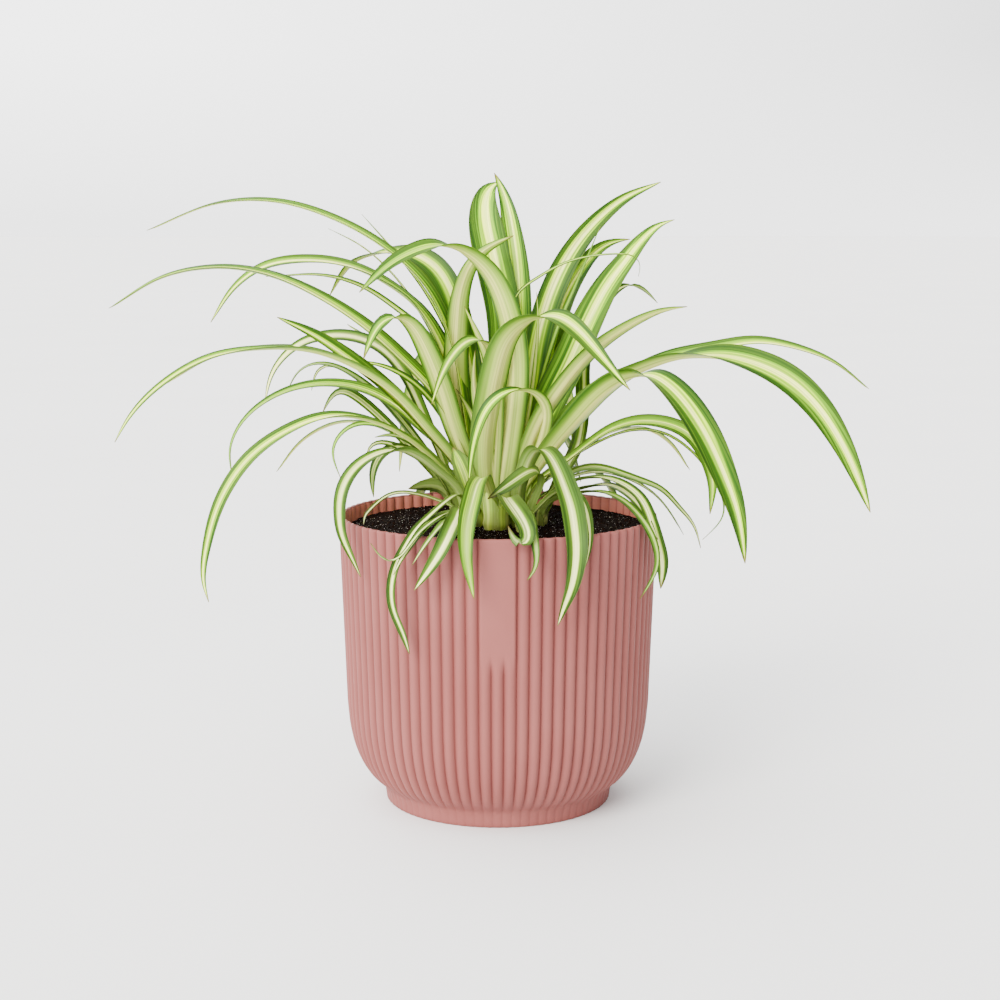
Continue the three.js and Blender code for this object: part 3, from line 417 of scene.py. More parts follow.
rightCrown = [
    leaf(20, [(14, -2, 178), (23, -8, 193), (34, -15, 208), (46, -23, 222), (59, -31, 236), (72, -39, 245),
        (85, -47, 248), (97, -54, 241), (109, -60, 228), (120, -65, 211), (130, -69, 190), (138, -72, 169),
        (142, -74, 151), (144, -75, 138)], bend=-62, widest=0.6),
    leaf(18, [(13, 0, 178), (24, -1, 195), (34, -2, 210), (45, -3, 226), (60, -4, 239), (80, -5, 249),
        (102, -7, 257), (125, -9, 259), (148, -12, 254), (168, -15, 244), (185, -18, 228), (199, -21, 207),
        (209, -23, 186), (216, -24, 168)], bend=-65, turn=(0, 25), widest=0.65),
    leaf(12, [(14, 4, 180), (27, 6, 200), (40, 8, 220), (56, 10, 236), (76, 13, 248), (98, 16, 258),
        (122, 19, 263), (148, 22, 267), (172, 24, 263), (193, 25, 255), (213, 26, 240)], turn=(20, 20),
        widest=0.7),
    leaf(20, [(14, 2, 190), (22, 3, 212), (32, 5, 236), (42, 7, 256), (52, 10, 279), (62, 14, 298),
        (72, 19, 312), (82, 24, 325), (91, 28, 333), (100, 31, 336)], bend=75),
    leaf(16, [(12, 5, 190), (17, 9, 215), (20, 13, 245), (25, 17, 275), (33, 21, 300), (43, 26, 319),
        (56, 31, 335), (72, 36, 348), (92, 42, 357)], bend=75, turn=(0, 20)),
    leaf(17, [(13, 6, 195), (20, 12, 225), (27, 18, 258), (35, 24, 287), (45, 30, 306), (56, 35, 319),
        (66, 38, 324), (75, 40, 325)], bend=75, turn=(0, 25)),
    leaf(3, [(12, 4, 195), (22, 8, 235), (34, 12, 275), (45, 15, 301), (52, 16, 318), (58, 17, 332)],
        bend=80),
    leaf(12, [(12, -4, 182), (18, -9, 205), (26, -14, 224), (36, -19, 239), (50, -25, 257), (64, -29, 269),
        (80, -33, 279), (94, -35, 285), (108, -37, 287)], bend=-60, turn=(0, -30)),
    leaf(9, [(15, -3, 185), (22, -7, 203), (27, -13, 220), (27, -18, 230), (22, -23, 237), (13, -27, 240),
        (4, -30, 238), (-5, -32, 231), (-11, -32, 219), (-15, -30, 203), (-17, -26, 184)], bend=-120,
        widest=0.5),
    leaf(10, [(22, -4, 185), (36, -8, 195), (50, -10, 206), (64, -13, 216), (80, -16, 221), (96, -20, 220),
        (110, -24, 214), (119, -27, 202), (124, -29, 186), (123, -30, 167)], turn=(20, 50), widest=0.7),
    leaf(3, [(30, 0, 190), (50, -2, 205), (75, -6, 216), (95, -9, 215), (112, -12, 204), (124, -14, 189),
        (131, -15, 175), (131, -16, 165), (119, -16, 152)], turn=(30, 30)),
    leaf(3, [(13, 0, 200), (19, -2, 235), (22, -3, 262), (23, -3, 280), (22, -3, 295)], bend=-90),
]
backCrown = [
    leaf(21, [(-1, 15, 190), (2, 17, 225), (4, 19, 260), (3, 21, 285), (-1, 24, 305), (-5, 27, 323),
        (-8, 31, 340), (-7, 35, 350), (-3, 39, 356), (1, 42, 357)], bend=90, widest=0.78),
    leaf(15, [(3, 15, 190), (8, 17, 225), (12, 19, 260), (12, 21, 285), (11, 24, 305), (9, 27, 322),
        (6, 30, 340), (3, 34, 351), (-2, 38, 362)], bend=90, widest=0.65),
    leaf(18, [(-6, 15, 190), (-14, 19, 230), (-21, 23, 268), (-27, 27, 293), (-35, 32, 308), (-47, 37, 316),
        (-60, 41, 318), (-73, 45, 316), (-85, 48, 310), (-96, 51, 293)], bend=110, turn=(0, -30)),
    leaf(4, [(-8, 16, 195), (-25, 30, 245), (-45, 44, 285), (-62, 55, 308), (-78, 62, 322), (-96, 68, 331)]),
    leaf(4, [(-6, 17, 195), (-20, 32, 250), (-38, 46, 290), (-56, 56, 315), (-66, 60, 327), (-77, 64, 339)]),
    leaf(11, [(-12, 20, 185), (-24, 30, 198), (-42, 40, 217), (-60, 50, 237), (-80, 61, 251), (-105, 73, 261),
        (-132, 85, 263), (-165, 98, 258), (-192, 108, 242)], turn=(20, 35)),
    leaf(12, [(-14, 24, 200), (-38, 44, 238), (-55, 62, 255), (-72, 79, 268), (-86, 92, 277)], turn=(10, 30)),
    leaf(9, [(8, 20, 190), (18, 29, 210), (34, 54, 232), (47, 80, 249), (58, 105, 262), (68, 130, 270),
        (77, 152, 276)], turn=(-10, -30)),
    leaf(11, [(10, 18, 188), (24, 27, 198), (45, 43, 224), (60, 60, 238), (80, 78, 249), (102, 95, 257),
        (125, 112, 258), (148, 126, 253), (166, 138, 244)], turn=(-20, -35)),
    leaf(15, [(-4, 20, 200), (-6, 34, 230), (-8, 54, 252), (-8, 80, 264), (-6, 110, 267), (-4, 140, 260),
        (-2, 165, 244), (0, 182, 218)]),
    leaf(11, [(4, 20, 200), (14, 36, 230), (20, 58, 252), (26, 84, 263), (32, 112, 262), (37, 138, 250),
        (42, 158, 228), (44, 170, 200)]),
    leaf(11, [(-10, 22, 200), (-18, 40, 230), (-26, 62, 252), (-34, 88, 262), (-42, 114, 258),
        (-49, 134, 243), (-54, 150, 220), (-57, 160, 192)]),
    leaf(9, [(-14, 22, 180), (-28, 34, 190), (-45, 48, 204), (-62, 64, 215), (-80, 82, 221), (-97, 99, 219),
        (-114, 114, 209), (-128, 126, 192)]),
    leaf(9, [(12, 20, 178), (24, 29, 186), (38, 40, 196), (52, 56, 208), (68, 74, 216), (84, 92, 217),
        (99, 108, 209), (111, 120, 193)]),
]
frontLeftOffset = [
    leaf(5, [(-19, -22, 174), (-23, -32, 179), (-31, -48, 174), (-40, -64, 166), (-48, -80, 158),
        (-55, -88, 147), (-61, -90, 134), (-63, -89, 119), (-61, -87, 108), (-56, -86, 97), (-52, -87, 84)],
        bend=-95, turn=(0, 0, 0, 25), widest=0.9),
    leaf(7, [(-20, -24, 168), (-28, -42, 168), (-36, -64, 164), (-44, -83, 158), (-52, -92, 147),
        (-58, -95, 138), (-61, -95, 131)], bend=-110),
    leaf(5, [(-22, -30, 166), (-28, -54, 165), (-33, -76, 161), (-38, -91, 155), (-44, -98, 147),
        (-50, -99, 137)], bend=-100),
    leaf(10, [(-20, -26, 168), (-22, -46, 170), (-24, -66, 165), (-27, -84, 159), (-31, -97, 150),
        (-36, -99, 141), (-42, -98, 132), (-49, -96, 122)], bend=-100, widest=0.6),
    leaf(8, [(-22, -20, 180), (-35, -28, 192), (-46, -34, 201), (-57, -38, 205), (-68, -42, 203),
        (-78, -47, 198), (-86, -52, 190), (-91, -56, 179), (-92, -58, 166), (-91, -59, 155), (-87, -60, 146),
        (-80, -60, 130)], bend=-95, widest=0.6),
    leaf(4, [(-23, -14, 170), (-32, -10, 174), (-42, -8, 178), (-52, -7, 180), (-61, -6, 180), (-68, -7, 176),
        (-73, -12, 171), (-77, -22, 167), (-78, -36, 161)], turn=(-20, -20), widest=0.3),
    leaf(3, [(-21, -28, 168), (-29, -46, 168), (-38, -70, 163), (-48, -91, 154), (-55, -95, 144),
        (-60, -94, 139), (-67, -91, 140), (-74, -88, 150)], bend=-120),
]
backLeftOffset = [
    leaf(9, [(-28, 14, 185), (-42, 20, 222), (-55, 26, 250), (-68, 30, 264), (-84, 33, 270), (-100, 35, 270),
        (-113, 36, 266), (-123, 37, 258), (-130, 37, 248), (-134, 37, 232)], turn=(-20, -60), widest=0.6),
    leaf(6, [(-30, 15, 185), (-50, 24, 215), (-70, 30, 238), (-88, 33, 251), (-100, 34, 255), (-111, 34, 253),
        (-118, 34, 246), (-121, 34, 238)], turn=(-20, -30)),
    leaf(6, [(-29, 17, 182), (-48, 28, 212), (-68, 36, 236), (-85, 40, 249), (-97, 42, 254), (-104, 43, 251),
        (-107, 43, 239)], bend=-120),
    leaf(7, [(-30, 14, 180), (-50, 22, 205), (-68, 27, 224), (-82, 30, 236), (-91, 31, 240), (-97, 32, 234),
        (-101, 32, 226)], turn=(-20, -50), widest=0.7),
    leaf(6, [(-32, 8, 190), (-42, 4, 199), (-52, 1, 204), (-61, -1, 208), (-69, -2, 210), (-75, -3, 207),
        (-76, -3, 200)], turn=(-30, -50)),
    leaf(6, [(-30, 6, 182), (-44, 2, 200), (-57, -1, 207), (-66, -3, 204), (-71, -4, 197), (-73, -4, 188),
        (-72, -4, 177)], turn=(-30, -60), widest=0.7),
    leaf(6, [(-32, 10, 190), (-43, 8, 204), (-53, 6, 211), (-62, 5, 214), (-71, 4, 212)], turn=(-40, -50)),
    leaf(11, [(-27, 10, 176), (-31, 9, 182), (-40, 7, 184), (-52, 6, 182)], turn=(50, 50), widest=0.6),
]
frontRightOffset = [
    leaf(11, [(20, -22, 178), (25, -24, 189), (23, -27, 194), (15, -31, 190), (5, -35, 183), (-6, -39, 176)],
        bend=-150, turn=(0, -50), widest=0.55),
    leaf(13, [(9, -24, 172), (5, -34, 177), (7, -52, 174), (12, -72, 167), (16, -88, 160), (18, -96, 153),
        (16, -100, 148), (11, -99, 149), (8, -96, 154), (6, -92, 160)], bend=-90, widest=0.45),
    leaf(7, [(16, -30, 168), (17, -50, 167), (19, -70, 162), (20, -88, 158), (22, -98, 147), (23, -99, 139),
        (21, -99, 132), (17, -98, 128)], bend=-90),
    leaf(13, [(12, -22, 178), (16, -26, 193), (22, -33, 205), (28, -42, 204), (34, -54, 195), (39, -66, 183),
        (43, -78, 171), (45, -88, 158), (46, -93, 146), (45, -95, 134), (43, -96, 123), (39, -96, 113),
        (35, -95, 101)], bend=-75, widest=0.6),
    leaf(5, [(24, -26, 172), (36, -38, 182), (45, -50, 180), (50, -62, 173), (53, -76, 163), (54, -84, 152),
        (53, -88, 144), (51, -89, 136)], bend=-70, widest=0.6),
]
rightOffset = [
    leaf(6, [(31, 4, 182), (43, 2, 192), (56, 0, 195), (68, -2, 192), (82, -4, 187), (95, -6, 182),
        (105, -7, 171), (114, -8, 161), (118, -8, 147)], turn=(30, 30)),
    leaf(4, [(30, 8, 180), (45, 9, 190), (62, 9, 192), (80, 8, 186), (92, 7, 178), (101, 6, 167),
        (108, 5, 155)], turn=(20, 20)),
    leaf(8, [(30, 0, 178), (42, -8, 186), (56, -17, 189), (68, -25, 187), (77, -31, 182), (84, -39, 175),
        (89, -44, 163), (93, -45, 150), (96, -47, 138), (95, -47, 123)], bend=-55, turn=(0, 20), widest=0.85),
    leaf(7, [(30, 2, 176), (42, -3, 180), (55, -10, 184), (66, -19, 184), (75, -28, 179), (82, -37, 172),
        (88, -44, 163), (93, -49, 152)], bend=-65, turn=(0, 20)),
    leaf(6, [(29, -2, 174), (42, -10, 178), (54, -18, 181), (65, -26, 179), (74, -33, 174), (81, -42, 167),
        (87, -51, 159), (92, -55, 148), (93, -57, 136), (89, -58, 127), (83, -58, 117)], bend=-75),
    leaf(9, [(36, 12, 188), (46, 17, 207), (49, 21, 232), (49, 23, 255), (54, 25, 275), (63, 27, 292),
        (73, 28, 300), (82, 29, 298), (91, 30, 289)], bend=75),
]
backRightOffset = [
    leaf(7, [(12, 40, 182), (16, 58, 194), (20, 76, 194), (23, 92, 184), (25, 103, 164), (25, 106, 142)]),
    leaf(8, [(22, 36, 182), (36, 48, 192), (50, 62, 194), (62, 76, 187), (70, 88, 170), (73, 94, 150)]),
    leaf(8, [(6, 40, 186), (4, 60, 204), (2, 82, 210), (0, 104, 202), (-1, 120, 184), (-2, 128, 162)]),
    leaf(6, [(26, 32, 178), (44, 40, 187), (62, 48, 189), (76, 55, 182), (87, 61, 166), (91, 64, 150)]),
    leaf(7, [(14, 42, 192), (24, 66, 212), (34, 90, 216), (42, 112, 206), (48, 128, 186)]),
]
backOffset = [
    leaf(7, [(-18, 44, 182), (-24, 60, 192), (-31, 76, 191), (-37, 91, 180), (-41, 100, 162),
        (-42, 102, 142)]),
    leaf(8, [(-22, 42, 180), (-28, 56, 187), (-35, 70, 188), (-42, 82, 184), (-48, 92, 172), (-51, 97, 152)]),
    leaf(8, [(-14, 46, 190), (-14, 66, 208), (-15, 88, 213), (-16, 108, 205), (-17, 124, 187),
        (-18, 132, 164)]),
    leaf(7, [(-18, 44, 186), (-22, 64, 200), (-26, 86, 204), (-31, 106, 196), (-35, 122, 178),
        (-38, 130, 158)]),
]
crowns = [  # where each stands in the soil, and its stock's radius
    dict(name="left_crown", at=(-13, 3), radius=6.5, leaves=leftCrown),
    dict(name="centre_crown", at=(-1, -9), radius=7, leaves=centreCrown),
    dict(name="right_crown", at=(12, 3), radius=6.5, leaves=rightCrown),
    dict(name="back_crown", at=(-1, 13), radius=6, leaves=backCrown),
    dict(name="front_left_offset", at=(-18, -16), radius=3.2, leaves=frontLeftOffset),
    dict(name="back_left_offset", at=(-24, 12), radius=3.2, leaves=backLeftOffset),
    dict(name="front_right_offset", at=(14, -18), radius=3.2, leaves=frontRightOffset),
    dict(name="right_offset", at=(25, 6), radius=3.2, leaves=rightOffset),
    dict(name="back_right_offset", at=(10, 29), radius=3.2, leaves=backRightOffset),
    dict(name="back_offset", at=(-13, 30), radius=3.2, leaves=backOffset),
]


# A smooth curve through points: centripetal Catmull-Rom, whose knots lie apart by the root of the distance,
# then even steps along its length, averaged with a bell curve. Also gives the curve's length.
def smoothRoute(points, stepLength):
    padded = np.concatenate([[2 * points[0] - points[1]], points, [2 * points[-1] - points[-2]]])
    knots = np.concatenate([[0], np.cumsum(np.linalg.norm(np.diff(padded, axis=0), axis=1) ** 0.5)])
    t = np.linspace(knots[1], knots[-2], 60 * len(points))
    k = np.clip(np.searchsorted(knots, t, side="right") - 1, 1, len(points) - 1)
    p = [padded[k + i] for i in (-1, 0, 1, 2)]
    n = [knots[k + i] for i in (-1, 0, 1, 2)]

    def between(a, b, low, high):
        share = ((t - low) / (high - low))[:, None]
        return a * (1 - share) + b * share

    a = [between(p[i], p[i + 1], n[i], n[i + 1]) for i in range(3)]
    b = [between(a[i], a[i + 1], n[i], n[i + 2]) for i in range(2)]
    fine = between(b[0], b[1], n[1], n[2])
    length = np.concatenate([[0], np.cumsum(np.linalg.norm(np.diff(fine, axis=0), axis=1))])
    count = max(int(length[-1] / stepLength), 12)
    places = np.linspace(0, length[-1], count)
    even = np.stack([np.interp(places, length, fine[:, i]) for i in range(3)], axis=1)
    reach = max(int(leafSizes["smoothing"] / stepLength * 1.5), 1)
    weights = np.exp(-(np.arange(-reach, reach + 1) * stepLength / leafSizes["smoothing"]) ** 2)
    weights /= weights.sum()
    head = 2 * even[0] - even[reach:0:-1]
    tail = 2 * even[-1] - even[-2:-reach - 2:-1]
    longer = np.concatenate([head, even, tail])
    return np.stack([np.convolve(longer[:, i], weights, "valid") for i in range(3)], axis=1), length[-1]


# The line of a blade's middle, and at each step the way across it and the way out of its upper face. A route
# point is moved along the line of sight by its depth. The way across is level and square to the bend, then
# turned about the line by the leaf's own turn and a slow wobble.
def bladeLine(crown, spec, random):
    size = leafSizes
    x, y = crown["at"]
    across, depth, up = np.array(spec["route"], float).T
    seen = eye + (np.stack([across, 0 * across, up], axis=1) - eye) * (1 + depth / -eye[1])[:, None]
    reach = (seen[-1] - [x, y, 0]) * [1, 1, 0]
    reach /= np.linalg.norm(reach)
    stock = np.array([x, y, soilSizes["level"] + size["rootLift"]])
    root = stock + reach * crown["radius"] * size["rootReach"]
    centre, length = smoothRoute(np.concatenate([[root], seen]), size["stepLength"])
    share = np.linspace(0, 1, len(centre))
    along = np.gradient(centre, axis=0)
    along /= np.linalg.norm(along, axis=1)[:, None]
    bend = math.atan2(reach[1], reach[0]) if spec["bend"] is None else math.radians(spec["bend"])
    flat = np.array([math.sin(bend), -math.cos(bend), 0])
    side = flat - along * (along @ flat)[:, None]
    side /= np.linalg.norm(side, axis=1)[:, None]
    sway = size["wobble"] * np.sin(2 * math.pi * (share * random.uniform(0.8, 1.6) + random.random()))
    turn = np.interp(share, np.linspace(0, 1, len(spec["turn"])), spec["turn"])
    turn = np.radians(turn + sway * share)[:, None]
    side = side * np.cos(turn) + np.cross(along, side) * np.sin(turn)
    return centre, share, length, side, np.cross(side, along)


# A blade: a channelled section carried along its line. The width swells as a sine from the sheath and runs
# out as a cosine to the tip; the edges rise over the midrib, most of all where the base clasps its stock.
def bladeTube(crown, number, random):
    size, spec = leafSizes, crown["leaves"][number]
    centre, share, length, side, face = bladeLine(crown, spec, random)
    swell = 0.5 + 0.5 * np.sin(math.pi / 2 * np.minimum(share / spec["widest"], 1))
    taper = np.cos(math.pi / 2 * np.maximum((share - spec["widest"]) / (1 - spec["widest"]), 0))
    taper = np.maximum(taper, 0) ** size["tipFullness"]
    half = np.maximum(spec["width"] * swell * taper, size["tipWidth"]) / 2
    fold = size["foldAtRoot"] + (size["foldAtTip"] - size["foldAtRoot"]) * share
    fold = fold * min(spec["width"] / 10, 1) + size["sheathFold"] * np.exp(-share / size["sheathShare"])
    s = np.linspace(-1, 1, size["pointsAcross"])
    wave = np.sin(share * length / size["waveLength"] + random.random() * 6)[:, None]
    soft = size["foldSoftness"]
    channel = (np.sqrt(s ** 2 + soft ** 2) - soft) / 0.82  # |s| with a rounded bottom, 1 at the edges
    upper = half[:, None] * (fold[:, None] * channel + size["waviness"] * wave * s ** 3)
    thick = np.interp(np.abs(s), [0, 0.25, 1],
                      [size["middleThickness"], size["shoulderThickness"], size["edgeThickness"]])
    thick = np.minimum(thick, half[:, None] * 1.2)
    acrossRing = np.concatenate([s, s[::-1]])
    liftRing = np.concatenate([upper, (upper - thick)[:, ::-1]], axis=1)
    grid = centre[:, None] + side[:, None] * (half[:, None] * acrossRing)[..., None] \
        + face[:, None] * liftRing[..., None]
    shift = random.uniform(-1, 1) * size["stripeShift"]
    power = ownStripe.get((crown["name"], number), random.uniform(*size["stripePower"]))
    fromStripe = np.abs(acrossRing + shift * (1 - acrossRing ** 2)) ** power
    lane = np.stack([half[:, None] * acrossRing, (share * length)[:, None] + 0 * acrossRing,
                     np.full((len(share), len(acrossRing)), random.random() * 900)], axis=-1)
    toTip = (1 - share) * length
    every = np.zeros((len(share), len(acrossRing)))
    values = dict(
        edge=fromStripe + every,  # 0 in the middle of the stripe, 1 at the rim
        lane=lane,  # millimetres across and along the leaf, and a number that tells leaves apart
        base=np.exp(-(share * length / size["palenessLength"]) ** 2)[:, None] + every,  # 1 at the root
        under=np.repeat([0.0, 1.0], size["pointsAcross"]) + every,  # 1 on the lower face
        dry=np.clip(1.5 - toTip / random.uniform(*size["dryLength"]), 0, 1)[:, None] + every,
        tone=random.random() + every,  # one brightness for the leaf
    )
    return grid[:, ::-1] * mm, {key: value[:, ::-1] for key, value in values.items()}


# A piece of a crown's foot: rings at heights above the soil, with the lanes running up them and the pale
# colour of leaf bases, darker and browner towards the soil
def footTube(crown, ring, angle, height, seed):
    size = footSizes
    x, y = crown["at"]
    z = soilSizes["level"] + height
    # Darker and browner towards the soil, through the dry and tone attributes, over the lowest heights
    darkeningNearSoil = np.clip(1 - height / size["darkeningHeight"], 0, 1)
    grid = np.stack([x + ring * np.cos(angle), y + ring * np.sin(angle), z + 0 * ring], axis=-1)
    every = np.zeros(ring.shape)
    lane = np.stack([angle * 6 + every, z + every, every + seed], axis=-1)
    values = dict(edge=0.3 + 0.25 * np.sin(3 * angle) + every, lane=lane, base=every + size["paleness"],
                  under=every, dry=every + size["darkeningNearSoil"] * darkeningNearSoil, tone=every + 0.5 - 0.5 * darkeningNearSoil)
    return grid * mm, values


# The stock of a crown: a short pale stem that narrows upwards, ribbed by the sheaths around it
def stockRadius(crown, height):
    return crown["radius"] * np.interp(height, *zip(*footSizes["stock"]))


# Its radius rises and falls three times around, and that pattern turns slowly on the way up
def stockTube(crown):
    size = footSizes
    height = np.array([-16, -6, -1, 1, 2, 4, 6, 8.5, 11, 13, 14.2, 15])[:, None]
    angle = (2 * math.pi * np.arange(size["stockColumns"]) / size["stockColumns"])[None]
    ring = stockRadius(crown, height) * (1 + size["stockRibs"] * np.cos(3 * angle + height * 0.08))
    return footTube(crown, ring, angle, height, crown["at"][0])


# A sheath: a pale scale that clasps the stock, widest in the soil and pointed at its top, where it leans out.
# Its half angle falls as the square root of the height left, and its rim is thinned to a soft edge.
def sheathTube(crown, middle, random):
    size = footSizes
    deep = size["sheathDepth"]
    tall = random.uniform(*size["sheathHeight"]) * crown["radius"] / 7
    share = np.linspace(0, 1, size["sheathRows"])[:, None]
    s = np.linspace(-1, 1, size["sheathColumns"])
    s = np.concatenate([s, s[::-1]])[None]
    outside = np.repeat([1.0, 0.0], size["sheathColumns"])[None]
    angle = middle + s * size["sheathTurn"] * np.sqrt(1 - 0.985 * share)
    height = -deep + (tall + deep) * share - size["sheathScoop"] * s ** 2 * share
    lean = crown["radius"] * size["sheathLean"] * share ** 3
    thick = size["sheathThickness"] * (1 - 0.6 * s ** 2)
    ring = stockRadius(crown, np.minimum(height, 7)) + size["sheathGap"] + lean + outside * thick
    return footTube(crown, ring[:, ::-1], angle[:, ::-1], height[:, ::-1], middle)


leafFinish = dict(
    ior=1.45, specular=0.12, roughness=(0.36, 0.56), veinRelief=0.25,
    subsurface=0.15, subsurfaceRadius=(0.8, 1.0, 0.25), subsurfaceDepth=1.5,
    bandSway=0.13, lineStrength=0.75, rootPaleness=0.66, veinStrength=0.42, brightness=(0.82, 1.14),
)


# Fresh leaf under a thin waxy cuticle: green margins with a light rim, a lighter band, then a cream stripe
# between two yellow-green lines. The veins are 0.8 mm apart. Light comes through, and the underside is paler.
# The patterns read the lane attribute, so their scales are per millimetre, and each leaf has its own.
def leafCuticle(name, colours):
    finish = leafFinish
    material, tree, shader = newMaterial(name)
    names = ("edge", "lane", "base", "under", "dry", "tone")
    read = {n: addNode(tree, "ShaderNodeAttribute", attribute_name=n) for n in names}
    edge, lane = read["edge"].outputs["Fac"], read["lane"].outputs["Vector"]
    broad = addNode(tree, "ShaderNodeMapping", {"Vector": lane, "Scale": (0.25, 0.009, 1.0)})  # 4 mm wide
    streak = addNode(tree, "ShaderNodeTexNoise", {"Vector": broad.outputs[0], "Scale": 1.0, "Detail": 1.0})
    sway = addNode(tree, "ShaderNodeMapRange", {0: streak.outputs["Fac"], 1: 0.25, 2: 0.75,
                                                3: -finish["bandSway"], 4: finish["bandSway"]})
    inside = addNode(tree, "ShaderNodeMapRange", {0: edge, 1: 0.6, 2: 0.9, 3: 1.0, 4: 0.0})  # 0 at the rim
    place = addNode(tree, "ShaderNodeMath", {0: sway.outputs[0], 1: inside.outputs[0], 2: edge},
                    operation="MULTIPLY_ADD")
    upper = addNode(tree, "ShaderNodeValToRGB", {"Fac": place.outputs[0]}, colours["upper"])
    lower = addNode(tree, "ShaderNodeValToRGB", {"Fac": place.outputs[0]}, colours["lower"])
    # A few yellow-green lines, 1.3 mm apart at the closest, on the upper face
    apart = addNode(tree, "ShaderNodeMapping", {"Vector": lane, "Scale": (0.75, 0.004, 3.0)})
    few = addNode(tree, "ShaderNodeTexNoise", {"Vector": apart.outputs[0], "Scale": 1.0, "Detail": 0.0})
    drawn = addNode(tree, "ShaderNodeMapRange", {0: few.outputs["Fac"], 1: 0.54, 2: 0.62, 3: 0.0,
                                                 4: finish["lineStrength"]})
    inked = addNode(tree, "ShaderNodeMath", {0: drawn.outputs[0], 1: inside.outputs[0]}, operation="MULTIPLY")
    lined = addNode(tree, "ShaderNodeMix", {0: inked.outputs[0], 6: upper.outputs["Color"],
                                            7: toLinear(colours["line"])}, data_type="RGBA")
    faces = addNode(tree, "ShaderNodeMix", {0: read["under"].outputs["Fac"], 6: lined.outputs[2],
                                            7: lower.outputs["Color"]}, data_type="RGBA")
    # Paler towards the root, then the veins, brown where it is dry, and each leaf with its own brightness
    pale = addNode(tree, "ShaderNodeMath", {0: read["base"].outputs["Fac"], 1: finish["rootPaleness"]},
                   operation="MULTIPLY")
    paled = addNode(tree, "ShaderNodeMix", {0: pale.outputs[0], 6: faces.outputs[2],
                                            7: toLinear(colours["base"])}, data_type="RGBA")
    narrow = addNode(tree, "ShaderNodeMapping", {"Vector": lane, "Scale": (1.3, 0.008, 1.0)})
    vein = addNode(tree, "ShaderNodeTexNoise", {"Vector": narrow.outputs[0], "Scale": 1.0, "Detail": 1.0})
    fine = addNode(tree, "ShaderNodeMapRange", {0: vein.outputs["Fac"], 1: 0.4, 2: 0.66, 3: 0.0,
                                                4: finish["veinStrength"]})
    veined = addNode(tree, "ShaderNodeMix", {0: fine.outputs[0], 6: paled.outputs[2],
                                             7: toLinear(colours["vein"])}, data_type="RGBA")
    dried = addNode(tree, "ShaderNodeMix", {0: read["dry"].outputs["Fac"], 6: veined.outputs[2],
                                            7: toLinear(colours["dry"])}, data_type="RGBA")
    light = addNode(tree, "ShaderNodeMapRange", {0: read["tone"].outputs["Fac"], 3: finish["brightness"][0],
                                                 4: finish["brightness"][1]})
    toned = addNode(tree, "ShaderNodeHueSaturation", {"Value": light.outputs[0], "Color": dried.outputs[2]})
    rough = addNode(tree, "ShaderNodeMapRange", {0: vein.outputs["Fac"], 3: finish["roughness"][0],
                                                 4: finish["roughness"][1]})
    bump = addNode(tree, "ShaderNodeBump", {"Height": vein.outputs["Fac"], "Strength": 0.5,
                                            "Distance": finish["veinRelief"] * mm})
    tree.links.new(toned.outputs[0], shader.inputs["Base Color"])
    tree.links.new(rough.outputs[0], shader.inputs["Roughness"])
    tree.links.new(bump.outputs[0], shader.inputs["Normal"])
    shader.inputs["IOR"].default_value = finish["ior"]
    shader.inputs["Specular IOR Level"].default_value = finish["specular"]
    shader.inputs["Subsurface Weight"].default_value = finish["subsurface"]
    shader.inputs["Subsurface Radius"].default_value = finish["subsurfaceRadius"]
    shader.inputs["Subsurface Scale"].default_value = finish["subsurfaceDepth"] * mm
    return material


# Ramps of the upper and the lower face: their stops run from the stripe's middle (0) to the rim (1), with the
# two ends first. The offsets' leaves are darker than those of the large crowns.
brightLeaf = dict(
    upper=[(0.0, "#f4fa92"), (1.0, "#364e12"), (0.19, "#e6f65c"), (0.24, "#a8d00c"), (0.28, "#80ac08"),
           (0.34, "#c8ea14"), (0.4, "#94c40a"), (0.45, "#4a740a"), (0.53, "#284e0d"), (0.86, "#1c3a0b"),
           (0.94, "#142c09")],
    lower=[(0.0, "#cac96e"), (1.0, "#28460d"), (0.28, "#bfc462"), (0.38, "#98aa4c"), (0.46, "#acba54"),
           (0.66, "#8fa83c"), (0.84, "#4a7016"), (0.93, "#24440b")],
    base="#a4ba5a", vein="#587a16", line="#679810", dry="#5c4a24")
darkLeaf = dict(
    upper=[(0.0, "#eef0a2"), (1.0, "#36501a"), (0.3, "#e2ea8a"), (0.4, "#8aa43a"), (0.48, "#3e5e10"),
           (0.6, "#243f09"), (0.86, "#1a3009"), (0.94, "#102206")],
    lower=[(0.0, "#98a266"), (1.0, "#2c4410"), (0.3, "#86944e"), (0.42, "#4c662a"), (0.55, "#627a36"),
           (0.78, "#3e581e"), (0.9, "#162e06")],
    base="#869a48", vein="#4c6c1e", line="#4c7418", dry="#50421e")


# Each crown's stock, sheaths and blades make one piece, in the place of its node
def makeLeaves():
    materials = {"leaf": leafCuticle("leafCuticle", brightLeaf),
                 "small_leaf": leafCuticle("smallLeafCuticle", darkLeaf)}
    random = np.random.default_rng(leafSizes["seed"])
    for crown in crowns:
        slot = "small_leaf" if crown["name"].endswith("offset") else "leaf"
        around = random.random() * 2 + 2 * math.pi * np.arange(footSizes["sheaths"]) / footSizes["sheaths"]
        tubes = [stockTube(crown)] + [sheathTube(crown, middle, random) for middle in around]
        tubes += [bladeTube(crown, number, random) for number in range(len(crown["leaves"]))]
        piece = tubeObject(crown["name"] + "Leaves", tubes, materials[slot], 70)
        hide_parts(crown["name"])
        print(crown["name"], "made, leaves:", len(crown["leaves"]))


makeLeaves()

# The stage: floor, light and camera

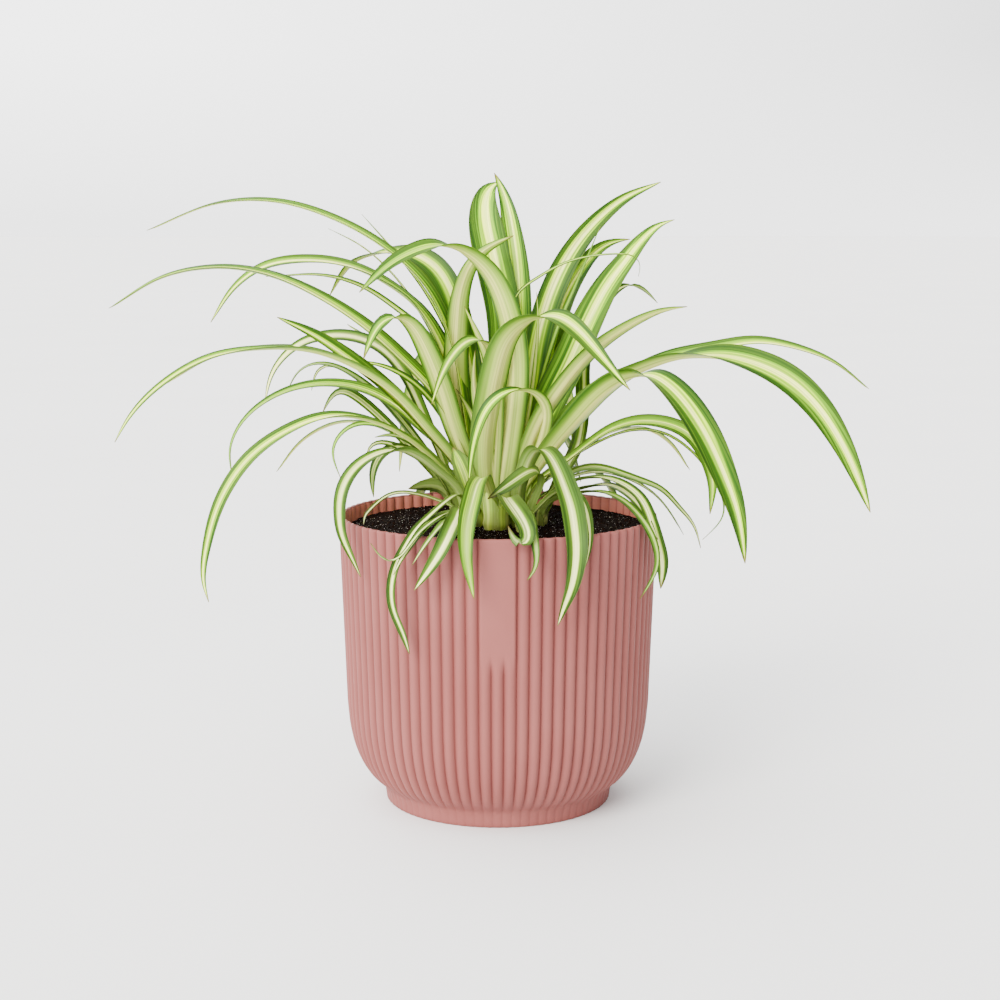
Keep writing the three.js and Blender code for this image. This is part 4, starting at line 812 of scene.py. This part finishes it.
stageSizes = dict(  # metres and degrees, and millimetres for the lens and the sensor
    floorRadius=40.0, floorSides=64, sunToward=(-0.75, -1.2, 0.85), sunAngle=32, sunStrength=5.6,
    skyStrength=6.0, horizonBlend=0.09, pitch=-8.66, lens=66.0, sensor=36,
)
stageColours = dict(
    floor="#e6e6e6", floorLight="#eaeaea", sun="#fffaf2", horizon="#c4c4c4",
    sky=[(0.0, "#e8e8e8"), (1.0, "#3c3c3c"), (0.4, "#dedede"), (0.6, "#bababa"), (0.72, "#7c7c7c")],
)


def paintedFloor():  # matt emulsion on a smooth board, faintly uneven
    material, tree, shader = newMaterial("mattEmulsion")
    place = addNode(tree, "ShaderNodeTexCoord").outputs["Object"]
    noise = addNode(tree, "ShaderNodeTexNoise", {"Vector": place, "Scale": 3.0, "Detail": 2.0})
    colour = addNode(tree, "ShaderNodeValToRGB", {"Fac": noise.outputs["Fac"]},
                     [(0.2, stageColours["floor"]), (0.8, stageColours["floorLight"])])
    tree.links.new(colour.outputs["Color"], shader.inputs["Base Color"])
    shader.inputs["Roughness"].default_value = 0.7
    return material


def makeFloor():  # a flat disc, so wide that its rim lies at the horizon
    sides = stageSizes["floorSides"]
    angle = 2 * math.pi * np.arange(sides) / sides
    rim = np.stack([np.cos(angle), np.sin(angle), 0 * angle], axis=1) * stageSizes["floorRadius"]
    mesh = bpy.data.meshes.new("floor")
    mesh.from_pydata(rim.tolist(), [], [list(range(sides))])
    mesh.materials.append(paintedFloor())
    addObject("floor", mesh)


def makeLamp():  # one very soft light from the upper left, in front
    data = bpy.data.lights.new("softLight", "SUN")
    data.energy = stageSizes["sunStrength"]
    data.angle = math.radians(stageSizes["sunAngle"])
    data.color = toLinear(stageColours["sun"])[:3]
    x, y, z = stageSizes["sunToward"]
    addObject("softLight", data).rotation_euler = (math.atan2(math.hypot(x, y), z), 0, math.atan2(x, -y))


# A room without walls: bright on the left and dim on the right, and blended into the floor at the horizon
def makeSky():
    world = bpy.data.worlds.new("studio")
    bpy.context.scene.world = world
    world.use_nodes = True
    tree = world.node_tree
    way = addNode(tree, "ShaderNodeSeparateXYZ",
                  {0: addNode(tree, "ShaderNodeTexCoord").outputs["Generated"]})
    right = addNode(tree, "ShaderNodeMapRange", {0: way.outputs["X"], 1: -1.0, 2: 1.0})
    above = addNode(tree, "ShaderNodeMapRange", {0: way.outputs["Z"], 1: 0.0, 2: stageSizes["horizonBlend"]})
    side = addNode(tree, "ShaderNodeValToRGB", {"Fac": right.outputs[0]}, stageColours["sky"])
    sky = addNode(tree, "ShaderNodeMix", {0: above.outputs[0], 6: toLinear(stageColours["horizon"]),
                                          7: side.outputs["Color"]}, data_type="RGBA")
    background = tree.nodes["Background"]
    tree.links.new(sky.outputs[2], background.inputs["Color"])
    background.inputs["Strength"].default_value = stageSizes["skyStrength"]


def makeCamera():  # at the eye, level with the upper leaves and tilted down
    camera = addObject("camera", bpy.data.cameras.new("camera"))
    camera.location = eye * mm
    camera.rotation_euler = (math.radians(90 + stageSizes["pitch"]), 0, 0)
    camera.data.lens = stageSizes["lens"]
    camera.data.sensor_width = stageSizes["sensor"]
    bpy.context.scene.camera = camera


makeFloor()
makeLamp()
makeSky()
makeCamera()
print("stage made")
